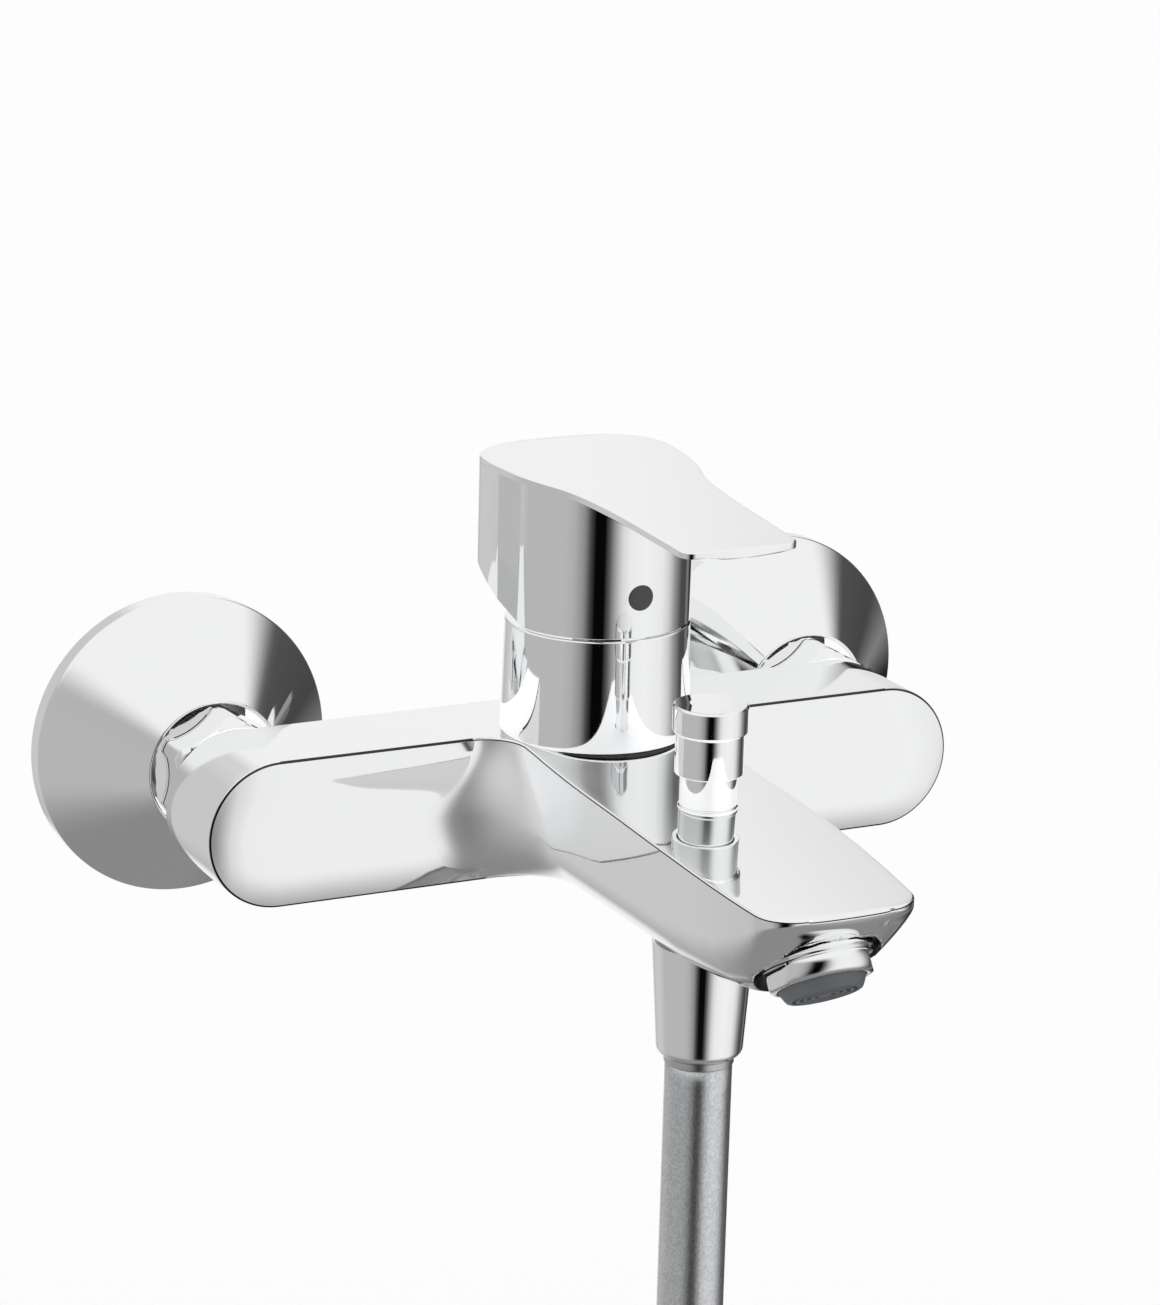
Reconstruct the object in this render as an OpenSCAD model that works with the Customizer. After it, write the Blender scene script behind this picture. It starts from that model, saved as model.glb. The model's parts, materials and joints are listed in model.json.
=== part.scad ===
// Wall mounted single-lever bath mixer with a pull-up diverter, an aerator and a shower hose.
// Frame: X along the wall, -Y out from the wall, Z up. The origin is on the wall's face,
// midway between the two wall threads. Distances "reach" are measured out from the wall.

/* [Wall connection] */
// Distance between the hot and the cold inlet
inlet_spacing = 150; // [140:1:170]
// Height of the wall threads above the mixer's own inlets
eccentric = 8; // [5:0.5:9]
// Diameter of the wall threads
wall_thread_d = 20.96; // [19:0.01:22]
// Length of the wall threads behind the wall's face
wall_thread_len = 16; // [10:1:25]
// Water bore through the connectors
inlet_bore_d = 13; // [10:0.5:14]
// Diameter of the thread under the union nut
union_thread_d = 22; // [20:0.5:23]
// Width of the union nut across its flats
nut_af = 26.5; // [26:0.1:28]
// How far the connector's end stands out from the wall
connector_reach = 26.5; // [26:0.5:34]

/* [Rosette] */
// Diameter at the wall
rosette_d = 69; // [64:0.5:84]
// Depth out from the wall
rosette_depth = 24.3; // [22:0.1:26]
// Width of the flat rim
rosette_rim = 5; // [3:0.1:7]
// Sheet thickness
rosette_wall = 0.9; // [0.6:0.1:1.5]

/* [Body] */
// Height of the bar
bar_h = 33; // [31:0.5:40]
// Depth of the bar from back to front
bar_depth = 25.4; // [24:0.1:31]
// How far the bar's middle lies below its inlets
bar_drop = 4; // [2:0.5:5]
// How far the spout's tip stands out from the wall
spout_reach = 176.5; // [160:0.5:212]
// Width of the spout where it leaves the bar
spout_w = 41.8; // [40:0.2:50]
// Width of the spout near its tip
spout_tip_w = 37; // [34:0.2:40]
// Height of the spout's tip above the inlets
spout_tip_z = 5.5; // [4:0.1:7]
// Depth of the spout's underside below the inlets
spout_base_z = 19.5; // [19:0.1:21]

/* [Cartridge] */
// How far the lever's swivel axis stands out from the wall
cart_reach = 61.8; // [58:0.1:64]
// Diameter of the ceramic cartridge
cart_d = 34.8; // [34:0.1:36]
// Height of the lever's tilt axis
pivot_z = 27; // [26:0.1:28]
// Largest lift of the lever, in degrees
lift_max = 25; // [20:1:25]
// Diameter of the cover sleeve at its foot
sleeve_d = 42.1; // [41.8:0.1:46]
// Height of the top of the sleeve
sleeve_top_z = 37.5; // [36:0.1:40]

/* [Lever] */
// How far the lever's tip stands out from the wall
lever_reach = 127.5; // [105:0.5:153]
// Width of the lever's hub at the front
hub_d = 41; // [40:0.2:43]
// Height of the lever's top at the back
lever_top_z = 72.9; // [70:0.1:80]
// Height of the lever's top at the tip
lever_tip_z = 69.2; // [67:0.1:80]
// Width of the lever near the tip
lever_tip_w = 28; // [24:0.2:33]
// Side of the square lever stem
stem_side = 8; // [7:0.1:8.4]

/* [Diverter] */
// How far the diverter stands out from the wall
diverter_reach = 115.4; // [106:0.1:122]
// Pull of the diverter knob
diverter_travel = 7; // [5:0.5:7]
// Diameter of the knob's cap
knob_d = 16.2; // [16:0.1:19]
// Diameter of the guide under the knob
guide_d = 12.2; // [12:0.1:12.8]

/* [Aerator] */
// Tilt of the outlet, towards the front
outlet_tilt = 33; // [28:0.5:36]
// How far the middle of the outlet stands out from the wall
outlet_reach = 163.3; // [150:0.1:196]
// Depth of the outlet below the inlets
outlet_depth = 7.4; // [7:0.1:8]
// Diameter of the aerator's housing
aerator_d = 24; // [23.6:0.1:24.6]

/* [Shower hose] */
// Diameter of the hose
hose_d = 14.6; // [13:0.1:15]
// Diameter of the hose nut at its wide end
hose_nut_d = 21.9; // [21.4:0.1:24]
// Length of the hose nut
hose_nut_len = 25.2; // [24.8:0.1:28]
// Diameter of the hand shower's thread
hand_thread_d = 20.96; // [20:0.01:21.2]

/* [Hidden] */
$fn = 64;

cut = 0.5;         // how far a cutting shape runs past a face
slip = 0.05;       // radial clearance of a running fit
gap = 0.3;         // clearance between pieces that pass each other

// wall connection
wall_r = wall_thread_d / 2;
inlet_r = inlet_bore_d / 2;
union_r = union_thread_d / 2;
web_r = union_r + 2;
web_back = 1;
web_front = 10;
nut_r = nut_af / 2 + 1.35;
gasket_t = 2;
flange_t = 2;
nut_shoulder = 5.1;
nut_back = connector_reach - 5;
flange_back = connector_reach + gasket_t;
flange_front = flange_back + flange_t;
nut_front = flange_front + nut_shoulder;
body_back = nut_front + gap;
nipple_r = union_r - 1.7;
nipple_grip = 9;
rosette_r = rosette_d / 2;
mouth_r = nut_r + gap;
edge_r = 1.4;
collar_z = 14;
collar_t = 1.5;

// body
bar_front = body_back + bar_depth;
inlet_x = inlet_spacing / 2;
bar_top_z = bar_h / 2 - bar_drop;
bore_clear = 0.1;
cart_r = cart_d / 2;
seat_z = -4;
collar_r = cart_r + 1.9;
collar_top_z = 26;
boss_r = sleeve_d / 2 - 0.25;
sleeve_foot_z = bar_top_z + 0.4;
channel_r = 5.5;
channel_reach = body_back + 14.1;
channel_z = seat_z - 7;
port_x = 7.5;
port_back = 5.8;
inlet_port_r = 3;
mix_port_r = 4;
mix_front = 8.2;
mix_z = -8;
mix_r = 5.3;

// cartridge, from the floor of its bore upwards
disc_z = seat_z + 4;
disc_t = 3;
fixed_r = cart_r - 1.5;
moving_r = fixed_r - 3.6;
carrier_z = disc_z + 2 * disc_t;
carrier_t = 3.2;
ball_z = pivot_z - 16;
ball_r = 3;
slide_len = (pivot_z - ball_z) * sin(lift_max);
disc_start = slide_len / 2;
rotor_z = carrier_z + carrier_t + 0.2;
rotor_flange_t = 2.2;
rotor_r = cart_r - 4.45;
rotor_top_z = pivot_z + 2;
housing_shoulder_z = 22;
housing_top_z = collar_top_z;
neck_r = rotor_r + 2.65;
pin_r = 1.5;
slot_r = 5.3;
hub_slide_r = 4.9;
rotor_slot_front = slide_len - slot_r + hub_slide_r + 0.15;
rotor_slot_back = 1.9;

// lever
hub_r = hub_d / 2;
hub_base_z = sleeve_top_z + 0.4;
hub_wall = 1.9;
hub_ceiling_z = hub_base_z + 24;
heel_angle = 30;
heel_start = cart_reach + 2.5;
lever_back = cart_reach - 24.8;
heel_half_w = hub_r + 2.2;
neck_half_w = lever_tip_w / 2 + 1.6;
boss_lever_r = stem_side / 2 + 3.4;
socket_top_z = hub_base_z + 20;
index_z = hub_base_z + 9.1;
index_r = 2.75;
grub_r = 2;

// diverter, heights from the shower outlet upwards
seat_low_z = -13.5;
seal_t = 0.9;
disc_thick = 2.2;
disc_base_z = seat_low_z + seal_t;
disc_top_z = disc_base_z + disc_thick;
seal_top_z = disc_top_z + seal_t;
seat_high_z = seal_top_z + diverter_travel;
seat_ring_t = 2;
chamber_r = 8.2;
valve_r = 6.6;
seat_hole_r = 5.2;
upper_r = 5.8;
upper_top_z = 4.5;
guide_r = guide_d / 2;
guide_base_z = 9.5;
guide_top_z = 26;
knob_r = knob_d / 2;
skirt_r = knob_r - 0.75;
knob_top_z = 32.7;
cap_base_z = 26.8;
skirt_base_z = 17.4;
rod_r = 2;
thread_r = 8.6;
nipple_flange_r = 10.3;
nipple_end_z = -34;
valve_bore_r = 6.8;
valve_top_z = -21;
hose_seal_end_z = nipple_end_z - 2;
hose_flange_end_z = hose_seal_end_z - 2;
nut_top_z = -spout_base_z - 1.1;
nut_end_z = nut_top_z - hose_nut_len;

// cartridge seals and aerator
seal_w = 1.4;
seal_h = 1.2;
aerator_r = aerator_d / 2;
aerator_seat = 7;

// hose: straight down out of the nut, into a coil that hangs below
hose_r = hose_d / 2;
hose_x = 0;
coil_r = 79.5;
coil_z = -232;
coil_turns = 2;
turn_pitch = 15;
hose_points = [
    [0, 0, -46], [0, 0, -60], [0, 0, -80], [0, 0, -100], [0, 0, -120],
    [0, 0, -140], [0, 0, -160], [0, 0, -180], [0, 0, -200]
];
tail_points = [[0, 30, -232], [0, 30, -252], [0, 30, -273], [0, 30, -294]];
tail_end_z = -294;
hand_nut_len = 26;
hand_bore_len = 13;
hand_gasket_r = 9.4;
hand_gasket_t = 2;

function unit(v) = v / norm(v);

function arc(x, y, r, from, to, steps = 8) =
    [for (i = [0:steps]) let (a = from + (to - from) * i / steps) [x + r * cos(a), y + r * sin(a)]];

// Half an outline from a list of [half width, distance], made whole by its mirror image.
function both_sides(half) =
    concat(half, [for (i = [len(half) - 1:-1:0]) if (half[i][0] > 0) [-half[i][0], half[i][1]]]);

// --- placing ---

// Heights below are measured from the mixer's inlet axis, which lies below the wall threads.
module mixer() {
    translate([0, 0, -eccentric]) children();
}

// Local Z points out from the wall, local Y is up, origin on the wall at one inlet.
module at_inlet(side) {
    mixer() translate([side * inlet_x, 0, 0]) rotate([90, 0, 0]) children();
}

module at_cartridge() {
    mixer() translate([0, -cart_reach, 0]) children();
}

module at_diverter() {
    mixer() translate([0, -diverter_reach, 0]) children();
}

// Local -Z is the direction of the water out of the tilted outlet.
module at_outlet() {
    mixer() translate([0, -outlet_reach, -outlet_depth]) rotate([-outlet_tilt, 0, 0]) children();
}

// A side outline of [reach, height] points, given thickness across the mixer.
module side_plate(outline, width) {
    rotate([90, 0, -90]) linear_extrude(width, center = true) polygon(outline);
}

// A plan outline of [half width, reach] points, given height.
module plan_plate(half, from_z, to_z) {
    translate([0, 0, from_z]) mirror([0, 1, 0])
        linear_extrude(to_z - from_z) polygon(both_sides(half));
}

module tube(r_out, r_in, from_z, to_z) {
    translate([0, 0, from_z]) difference() {
        cylinder(r = r_out, h = to_z - from_z);
        translate([0, 0, -cut]) cylinder(r = r_in, h = to_z - from_z + 2 * cut);
    }
}

module rod(r, from_z, to_z) {
    translate([0, 0, from_z]) cylinder(r = r, h = to_z - from_z);
}

// Round ended slot between two points on Y.
module slot_2d(r, y0, y1) {
    translate([0, y0]) circle(r);
    translate([0, y1]) circle(r);
    translate([-r, min(y0, y1)]) square([2 * r, abs(y1 - y0)]);
}

function ring(p, t, ref, r, sides) =
    let (n = unit(cross(t, ref)), b = cross(t, n))
    [for (k = [0:sides - 1]) p + r * (cos(360 * k / sides) * n + sin(360 * k / sides) * b)];

// Round tube swept along a path; ref is a direction that the path never runs along.
module swept(path, r, sides, ref) {
    last = len(path) - 1;
    points = [for (i = [0:last])
        each ring(path[i], unit(path[min(i + 1, last)] - path[max(i - 1, 0)]), ref, r, sides)];
    walls = [for (i = [0:last - 1]) for (k = [0:sides - 1])
        let (a = i * sides + k, b = i * sides + (k + 1) % sides)
        each [[a, a + sides, b + sides], [a, b + sides, b]]];
    ends = [[for (k = [0:sides - 1]) k], [for (k = [sides - 1:-1:0]) last * sides + k]];
    polyhedron(points, concat(walls, ends), convexity = 6);
}

module coil_spring(r, wire, from_z, to_z, turns) {
    steps = 14;
    rise = to_z - from_z - wire;
    path = [for (i = [0:turns * steps])
        [r * cos(360 * i / steps), r * sin(360 * i / steps),
         from_z + wire / 2 + rise * i / (turns * steps)]];
    swept(path, wire / 2, 6, [0, 0, 1]);
}

// --- wall connection ---

module rosette(side) {
    inner = rosette_r - edge_r - rosette_wall;
    foot_z = rosette_rim - rosette_wall;
    collar_end = collar_z + collar_t;
    collar_r_out = inner - (inner - mouth_r) * (collar_end - foot_z) / (rosette_depth - 0.3 - foot_z);
    color("whitesmoke") at_inlet(side) {
        rotate_extrude() polygon(concat(
            [[rosette_r - rosette_wall, 0], [rosette_r, 0]],
            arc(rosette_r - edge_r, rosette_rim - edge_r, edge_r, 0, 60, 4),
            [[mouth_r + rosette_wall, rosette_depth - 0.3], [mouth_r + rosette_wall / 2, rosette_depth],
             [mouth_r, rosette_depth - 0.3], [inner, foot_z],
             [rosette_r - rosette_wall, rosette_rim - edge_r - rosette_wall]]
        ));
        tube(collar_r_out + 0.4, union_r + slip, collar_z, collar_end);
    }
}

// Offset connector. A cross in its wall end, with a solid core, quietens the water.
module s_union(side) {
    core_r = 2.6;
    fin_t = 1.2;
    color("goldenrod") at_inlet(side) {
        difference() {
            union() {
                translate([0, eccentric, 0]) rod(wall_r, -wall_thread_len, web_back);
                translate([0, 0, web_back]) linear_extrude(web_front - web_back)
                    slot_2d(web_r, 0, eccentric);
                rod(union_r, web_front, connector_reach);
            }
            translate([0, eccentric, 0]) difference() {
                rod(inlet_r, -wall_thread_len - cut, web_front - 2.5);
                rod(core_r, -wall_thread_len, web_back);
                for (a = [0, 90]) rotate([0, 0, a])
                    translate([-2 * inlet_r, -fin_t / 2, -wall_thread_len])
                        cube([4 * inlet_r, fin_t, wall_thread_len + web_back]);
            }
            rod(inlet_r, web_back + 2, connector_reach + cut);
        }
    }
}

module union_nut(side) {
    chamfer = 1.2;
    color("gainsboro") at_inlet(side) difference() {
        intersection() {
            translate([0, 0, nut_back]) linear_extrude(nut_front - nut_back)
                circle(d = nut_af / cos(30), $fn = 6);
            rotate_extrude() polygon([
                [0, nut_back], [nut_r - chamfer, nut_back], [nut_r, nut_back + chamfer],
                [nut_r, nut_front - chamfer], [nut_r - chamfer, nut_front], [0, nut_front]
            ]);
        }
        rod(union_r + slip, nut_back - cut, flange_front);
        rod(nipple_r + slip, nut_back, nut_front + cut);
    }
}

module inlet_nipple(side) {
    color("goldenrod") at_inlet(side) difference() {
        union() {
            rod(union_r - gap, flange_back, flange_front);
            rod(nipple_r, flange_front, body_back + nipple_grip);
        }
        rod(inlet_r, flange_back - cut, body_back + nipple_grip + cut);
    }
}

// Flat rubber washer with a fine strainer bowl in its middle.
module filter_gasket(side) {
    bowl = 5;
    color("dimgray") at_inlet(side) {
        tube(union_r - gap, inlet_r - 0.4, connector_reach, flange_back);
        tube(inlet_r - 0.4, inlet_r - 1, flange_back - gasket_t, flange_back + bowl);
        rod(inlet_r - 0.9, flange_back + bowl - 0.6, flange_back + bowl);
    }
}

// --- body ---

module bar() {
    translate([0, -body_back, -bar_drop]) rotate([90, 0, 0]) linear_extrude(bar_depth)
        rotate([0, 0, 90]) slot_2d(bar_h / 2, -inlet_x, inlet_x);
}

// Outline of the spout from the side: flat top that falls gently, front rolling under to the
// tilted outlet, level underside.
function spout_side() =
    let (c = cos(outlet_tilt), s = sin(outlet_tilt), fore = 11.5, aft = 12.5,
         tip = spout_reach, top = bar_top_z, low = -spout_base_z)
    [
        [body_back + 6, top], [cart_reach + 12, top], [cart_reach + 22, top - 0.8],
        [cart_reach + 32, top - 2], [diverter_reach + 1, guide_base_z],
        [outlet_reach - 9, spout_tip_z + 1.6], [tip - 5, spout_tip_z + 0.5], [tip - 0.6, spout_tip_z],
        [tip, spout_tip_z - 1.2], [tip - 0.4, spout_tip_z - 4], [tip - 1.6, spout_tip_z - 5.8],
        [outlet_reach + fore * c, -outlet_depth + fore * s],
        [outlet_reach - aft * c, -outlet_depth - aft * s],
        [outlet_reach - 17, low + 2.1], [outlet_reach - 25, low + 0.5], [outlet_reach - 35, low],
        [body_back + 6, low]
    ];

function spout_plan() =
    let (w = spout_w / 2, t = spout_tip_w / 2, r = 5)
    concat(
        [[w, body_back + 6], [w, outlet_reach - 36]],
        [[w - 0.8, outlet_reach - 16]],
        arc(t - r, spout_reach - r, r, 5, 80, 6),
        [[0, spout_reach]]
    );

module spout() {
    belly = 16.3;
    w = spout_w / 2;
    section = concat(
        [[w, bar_h]],
        arc(w - belly, belly - spout_base_z, belly, 0, -90, 12)
    );
    intersection() {
        side_plate(spout_side(), spout_w + 2);
        plan_plate(spout_plan(), -bar_h, bar_h);
        rotate([90, 0, 0]) translate([0, 0, body_back]) linear_extrude(spout_reach)
            polygon(both_sides(section));
    }
}

// Hot and cold water: from each inlet down, and along the bar to a port under the cartridge.
module inlet_ways() {
    for (side = [-1, 1]) translate([side * inlet_x, 0, 0]) {
        rotate([90, 0, 0]) {
            rod(nipple_r, body_back - cut, body_back + nipple_grip);
            rod(inlet_r, body_back, channel_reach + 2);
        }
        translate([0, -channel_reach, 0]) rod(channel_r - 1, channel_z, 1);
    }
    for (side = [-1, 1]) {
        translate([side * inlet_x, -channel_reach, channel_z]) rotate([0, -side * 90, 0])
            cylinder(r = channel_r, h = inlet_x - port_x);
        translate([side * port_x, -cart_reach + port_back, 0])
            rod(inlet_port_r, channel_z, seat_z + cut);
    }
}

// Mixed water: from the cartridge to the diverter, and from there to the outlet or the hose.
module mixed_ways() {
    way_w = 11;
    translate([0, -cart_reach - mix_front, 0]) rod(mix_port_r, mix_z, seat_z + cut);
    translate([0, -cart_reach - mix_front, mix_z]) rotate([90, 0, 0])
        cylinder(r = mix_r, h = diverter_reach - cart_reach - mix_front);
    translate([0, -diverter_reach, 0]) {
        rod(thread_r, -spout_base_z - cut, seat_low_z + slip);
        rod(chamber_r, seat_low_z, seat_high_z);
        rod(seat_hole_r, seat_high_z - cut, seat_high_z + seat_ring_t + cut);
        rod(upper_r, seat_high_z + seat_ring_t, upper_top_z);
        rod(guide_r, upper_top_z - slip, guide_base_z + 2);
    }
    side_plate([
        [diverter_reach, seat_high_z + seat_ring_t], [diverter_reach, upper_top_z - 0.3],
        [outlet_reach - 13, 3], [outlet_reach - 5, 1], [outlet_reach - 5, -3.5],
        [outlet_reach - 15, -2]
    ], way_w);
}

module faucet_body() {
    color("gainsboro") difference() {
        union() {
            mixer() bar();
            mixer() spout();
            at_cartridge() rod(boss_r, seat_z, sleeve_foot_z);
            at_cartridge() rod(collar_r, seat_z, collar_top_z);
        }
        at_cartridge() rod(cart_r + bore_clear, seat_z, collar_top_z + cut);
        mixer() inlet_ways();
        mixer() mixed_ways();
        at_outlet() {
            rod(aerator_r - 1, -2, aerator_seat);
            rod(aerator_r - 4.5, aerator_seat - cut, aerator_seat + 2);
        }
    }
}

// --- cartridge ---

module cartridge_sleeve() {
    wall = 1;
    foot = sleeve_d / 2;
    top = hub_r;
    color("gainsboro") at_cartridge() rotate_extrude() polygon([
        [collar_r + 0.1, sleeve_foot_z], [foot - 0.2, sleeve_foot_z], [foot, sleeve_foot_z + 0.3],
        [top + 0.1, sleeve_top_z - 0.8], [top - 0.4, sleeve_top_z], [neck_r - 1.4, sleeve_top_z],
        [neck_r - 1.4, sleeve_top_z - wall], [collar_r + 0.1, sleeve_top_z - 2 * wall]
    ]);
}

module cartridge_nut() {
    notch = 4;
    color("goldenrod") at_cartridge() difference() {
        union() {
            rod(cart_r + 0.05, housing_shoulder_z, collar_top_z);
            rod(collar_r - 0.3, collar_top_z, collar_top_z + 3);
        }
        rod(neck_r + 0.2, housing_shoulder_z - cut, collar_top_z + 3 + cut);
        for (a = [0:60:300]) rotate([0, 0, a]) translate([collar_r, 0, collar_top_z + 2.5])
            cube([notch, notch, 3], center = true);
    }
}

module cartridge_housing() {
    color("lightgray") at_cartridge() difference() {
        union() {
            rod(cart_r, disc_z, housing_shoulder_z);
            rod(neck_r, housing_shoulder_z, housing_top_z);
        }
        rod(fixed_r + 0.1, disc_z - cut, rotor_z + rotor_flange_t + 0.2);
        rod(rotor_r + slip, disc_z, housing_top_z + cut);
    }
}

module port_holes(z0, z1, extra = 0) {
    for (side = [-1, 1]) translate([side * port_x, port_back, 0]) rod(inlet_port_r + extra, z0, z1);
    translate([0, -mix_front, 0]) rod(mix_port_r + extra, z0, z1);
}

module cartridge_base() {
    color("slategray") at_cartridge() difference() {
        rod(cart_r, seat_z, disc_z);
        port_holes(seat_z - cut, disc_z + cut);
        port_holes(seat_z - cut, seat_z + seal_h, seal_w);
    }
}

module cartridge_seals() {
    color("black") at_cartridge() difference() {
        port_holes(seat_z, seat_z + seal_h, seal_w);
        port_holes(seat_z - cut, seat_z + seal_h + cut);
    }
}

module fixed_disc() {
    color("white") at_cartridge() difference() {
        rod(fixed_r, disc_z, disc_z + disc_t);
        port_holes(disc_z - cut, disc_z + disc_t + cut);
    }
}

// The hollow under the moving disc joins the inlet ports to the outlet port when it slides
// forward. With the lever down it lies clear of the inlet ports.
module moving_disc() {
    color("ivory") at_cartridge() translate([0, disc_start, disc_z + disc_t]) difference() {
        cylinder(r = moving_r, h = disc_t);
        translate([0, 0, -cut]) linear_extrude(2 + cut)
            slot_2d(4.5, -6.4, -3.6);
        for (side = [-1, 1]) translate([side * 5, 8, 1]) cylinder(r = 1.2, h = disc_t);
    }
}

module disc_carrier() {
    color("slategray") at_cartridge() difference() {
        union() {
            translate([0, disc_start, 0]) rod(moving_r, carrier_z, carrier_z + carrier_t);
            rod(hub_slide_r, carrier_z, ball_z + 2.4);
        }
        rod(ball_r + 0.2, ball_z - ball_r - 0.3, ball_z + 3);
    }
    color("slategray") at_cartridge() for (side = [-1, 1])
        translate([side * 5, disc_start + 8, 0]) rod(1.1, carrier_z - 1.5, carrier_z);
}

module swivel_rotor() {
    color("dimgray") at_cartridge() difference() {
        union() {
            rod(fixed_r - 0.2, rotor_z, rotor_z + rotor_flange_t);
            rod(rotor_r, rotor_z, rotor_top_z);
        }
        translate([0, 0, rotor_z - cut]) linear_extrude(rotor_top_z - rotor_z + 2 * cut)
            slot_2d(slot_r, -rotor_slot_front, rotor_slot_back);
        translate([0, 0, pivot_z]) rotate([0, 90, 0]) cylinder(r = pin_r, h = 2 * rotor_r, center = true);
    }
}

module lever_pivot_pin() {
    color("silver") at_cartridge() translate([0, 0, pivot_z]) rotate([0, 90, 0])
        cylinder(r = pin_r, h = 2 * rotor_r - 3, center = true);
}

// Ring on the rotor's shoulder whose stop limits how far the lever turns to hot.
module limit_ring() {
    color("firebrick") at_cartridge() {
        tube(neck_r - 0.2, rotor_r + 0.1, housing_top_z, housing_top_z + 1.6);
        translate([neck_r - 1.5, 0, housing_top_z + 2.2]) cube([2.2, 3, 1.6], center = true);
    }
}

module lever_stem() {
    color("silver") at_cartridge() difference() {
        union() {
            translate([0, 0, ball_z]) sphere(r = ball_r);
            rod(2.2, ball_z, ball_z + 3.6);
            translate([-stem_side / 2, -stem_side / 2, ball_z + 3.5])
                cube([stem_side, stem_side, socket_top_z - ball_z - 3.5 - gap]);
        }
        translate([0, 0, pivot_z]) rotate([0, 90, 0])
            cylinder(r = pin_r + slip, h = stem_side + 2, center = true);
    }
}

// --- lever ---

// Plan of the lever: wide heel over the hub, narrow neck, straight blade, rounded tip.
function lever_plan() =
    let (h = heel_half_w, n = neck_half_w, t = lever_tip_w / 2, c = cart_reach, e = lever_reach)
    [
        [0, lever_back], [h * 0.55, lever_back + 0.8], [h * 0.82, lever_back + 4],
        [h * 0.97, lever_back + 9], [h, lever_back + 15], [h - 0.3, c - 2], [h - 1.8, c + 4.5],
        [h - 3.9, c + 10], [n + 1.6, c + 16], [n, c + 23], [n - 0.5, c + 30], [t, e - 7],
        [t - 0.7, e - 3.2], [t - 3, e - 1], [0, e]
    ];

function hub_plan() =
    let (h = heel_half_w - 0.4, c = cart_reach)
    concat(
        [[0, lever_back + 0.4], [h * 0.55, lever_back + 1.2], [h * 0.82, lever_back + 4.4],
         [h * 0.97, lever_back + 9.4], [h, lever_back + 15], [h - 0.7, c - 4]],
        arc(0, c, hub_r, 4, 90, 14)
    );

module lever_handle() {
    blade = [
        [lever_back - 1, lever_top_z], [lever_reach + 1, lever_tip_z],
        [lever_reach + 1, lever_tip_z - 1.6], [cart_reach + 24, lever_tip_z - 2.6],
        [lever_back - 1, lever_top_z - 6]
    ];
    hub = [
        [lever_back - 1, hub_base_z + (heel_start - lever_back + 1) * tan(heel_angle)],
        [heel_start, hub_base_z], [cart_reach + hub_r + 1, hub_base_z],
        [cart_reach + hub_r + 1, lever_tip_z - 0.6], [lever_back - 1, lever_top_z - 1]
    ];
    color("gainsboro") mixer() difference() {
        union() {
            intersection() {
                side_plate(blade, 3 * hub_d);
                plan_plate(lever_plan(), 0, 2 * lever_top_z);
            }
            intersection() {
                side_plate(hub, 3 * hub_d);
                plan_plate(hub_plan(), 0, 2 * lever_top_z);
            }
        }
        translate([0, -cart_reach, 0]) difference() {
            rod(hub_r - hub_wall, hub_base_z - cut, hub_ceiling_z);
            rod(boss_lever_r, hub_base_z + 2, hub_ceiling_z + cut);
        }
        translate([-stem_side / 2 - slip, -cart_reach - stem_side / 2 - slip, hub_base_z - cut])
            cube([stem_side + 2 * slip, stem_side + 2 * slip, socket_top_z - hub_base_z + cut]);
        translate([0, -cart_reach, index_z]) rotate([90, 0, 0]) {
            cylinder(r = grub_r, h = hub_r + cut);
            rod(index_r, hub_r - 1.6, hub_r + cut);
        }
    }
}

module grub_screw() {
    color("dimgray") mixer() translate([0, -cart_reach - stem_side / 2, index_z]) rotate([90, 0, 0])
        difference() {
            cylinder(r = grub_r, h = 9);
            translate([0, 0, 6]) cylinder(r = 1.1, h = 4, $fn = 6);
        }
}

module index_plug() {
    color("dimgray") mixer() translate([0, -cart_reach, index_z]) rotate([90, 0, 0])
        rod(index_r, hub_r - 1.6, hub_r - 0.15);
}

// --- diverter ---

module diverter_knob() {
    color("gainsboro") at_diverter() difference() {
        rotate_extrude() polygon(concat(
            [[0, skirt_base_z], [skirt_r - 0.3, skirt_base_z], [skirt_r, skirt_base_z + 0.3],
             [skirt_r, cap_base_z - 0.3], [knob_r - 0.4, cap_base_z - 0.3], [knob_r, cap_base_z + 0.1]],
            arc(knob_r - 0.5, knob_top_z - 0.9, 0.5, 0, 80, 4),
            [[knob_r * 0.5, knob_top_z - 0.1], [0, knob_top_z]]
        ));
        rod(guide_r + 0.15, skirt_base_z - cut, guide_top_z + 0.4);
        rod(rod_r, guide_top_z, cap_base_z + 3);
    }
}

module diverter_stem() {
    color("goldenrod") at_diverter() {
        rod(rod_r, disc_base_z - seal_t, cap_base_z + 3);
        rod(rod_r + 1.2, disc_base_z - seal_t - 1.6, disc_base_z - seal_t);
    }
}

module diverter_disc() {
    color("goldenrod") at_diverter() tube(valve_r, rod_r, disc_base_z, disc_top_z);
}

module diverter_seals() {
    color("black") at_diverter() {
        tube(valve_r, rod_r, seat_low_z, disc_base_z);
        tube(valve_r, rod_r, disc_top_z, seal_top_z);
    }
}

module diverter_spring() {
    color("silver") at_diverter() coil_spring(3.7, 0.8, seal_top_z, upper_top_z, 6);
}

module diverter_bonnet() {
    lip = 0.9;
    groove_z = guide_top_z - 4;
    color("gainsboro") at_diverter() difference() {
        union() {
            rod(guide_r, upper_top_z, guide_top_z);
            rod(guide_r + 0.35, guide_base_z, guide_base_z + lip);
        }
        rod(rod_r + slip, upper_top_z - cut, guide_top_z + cut);
        rod(rod_r + 1.5, groove_z, groove_z + 2);
    }
}

module diverter_o_ring() {
    color("black") at_diverter() tube(rod_r + 1.5, rod_r + slip, guide_top_z - 3.9, guide_top_z - 2.1);
}

// --- shower outlet ---

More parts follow.
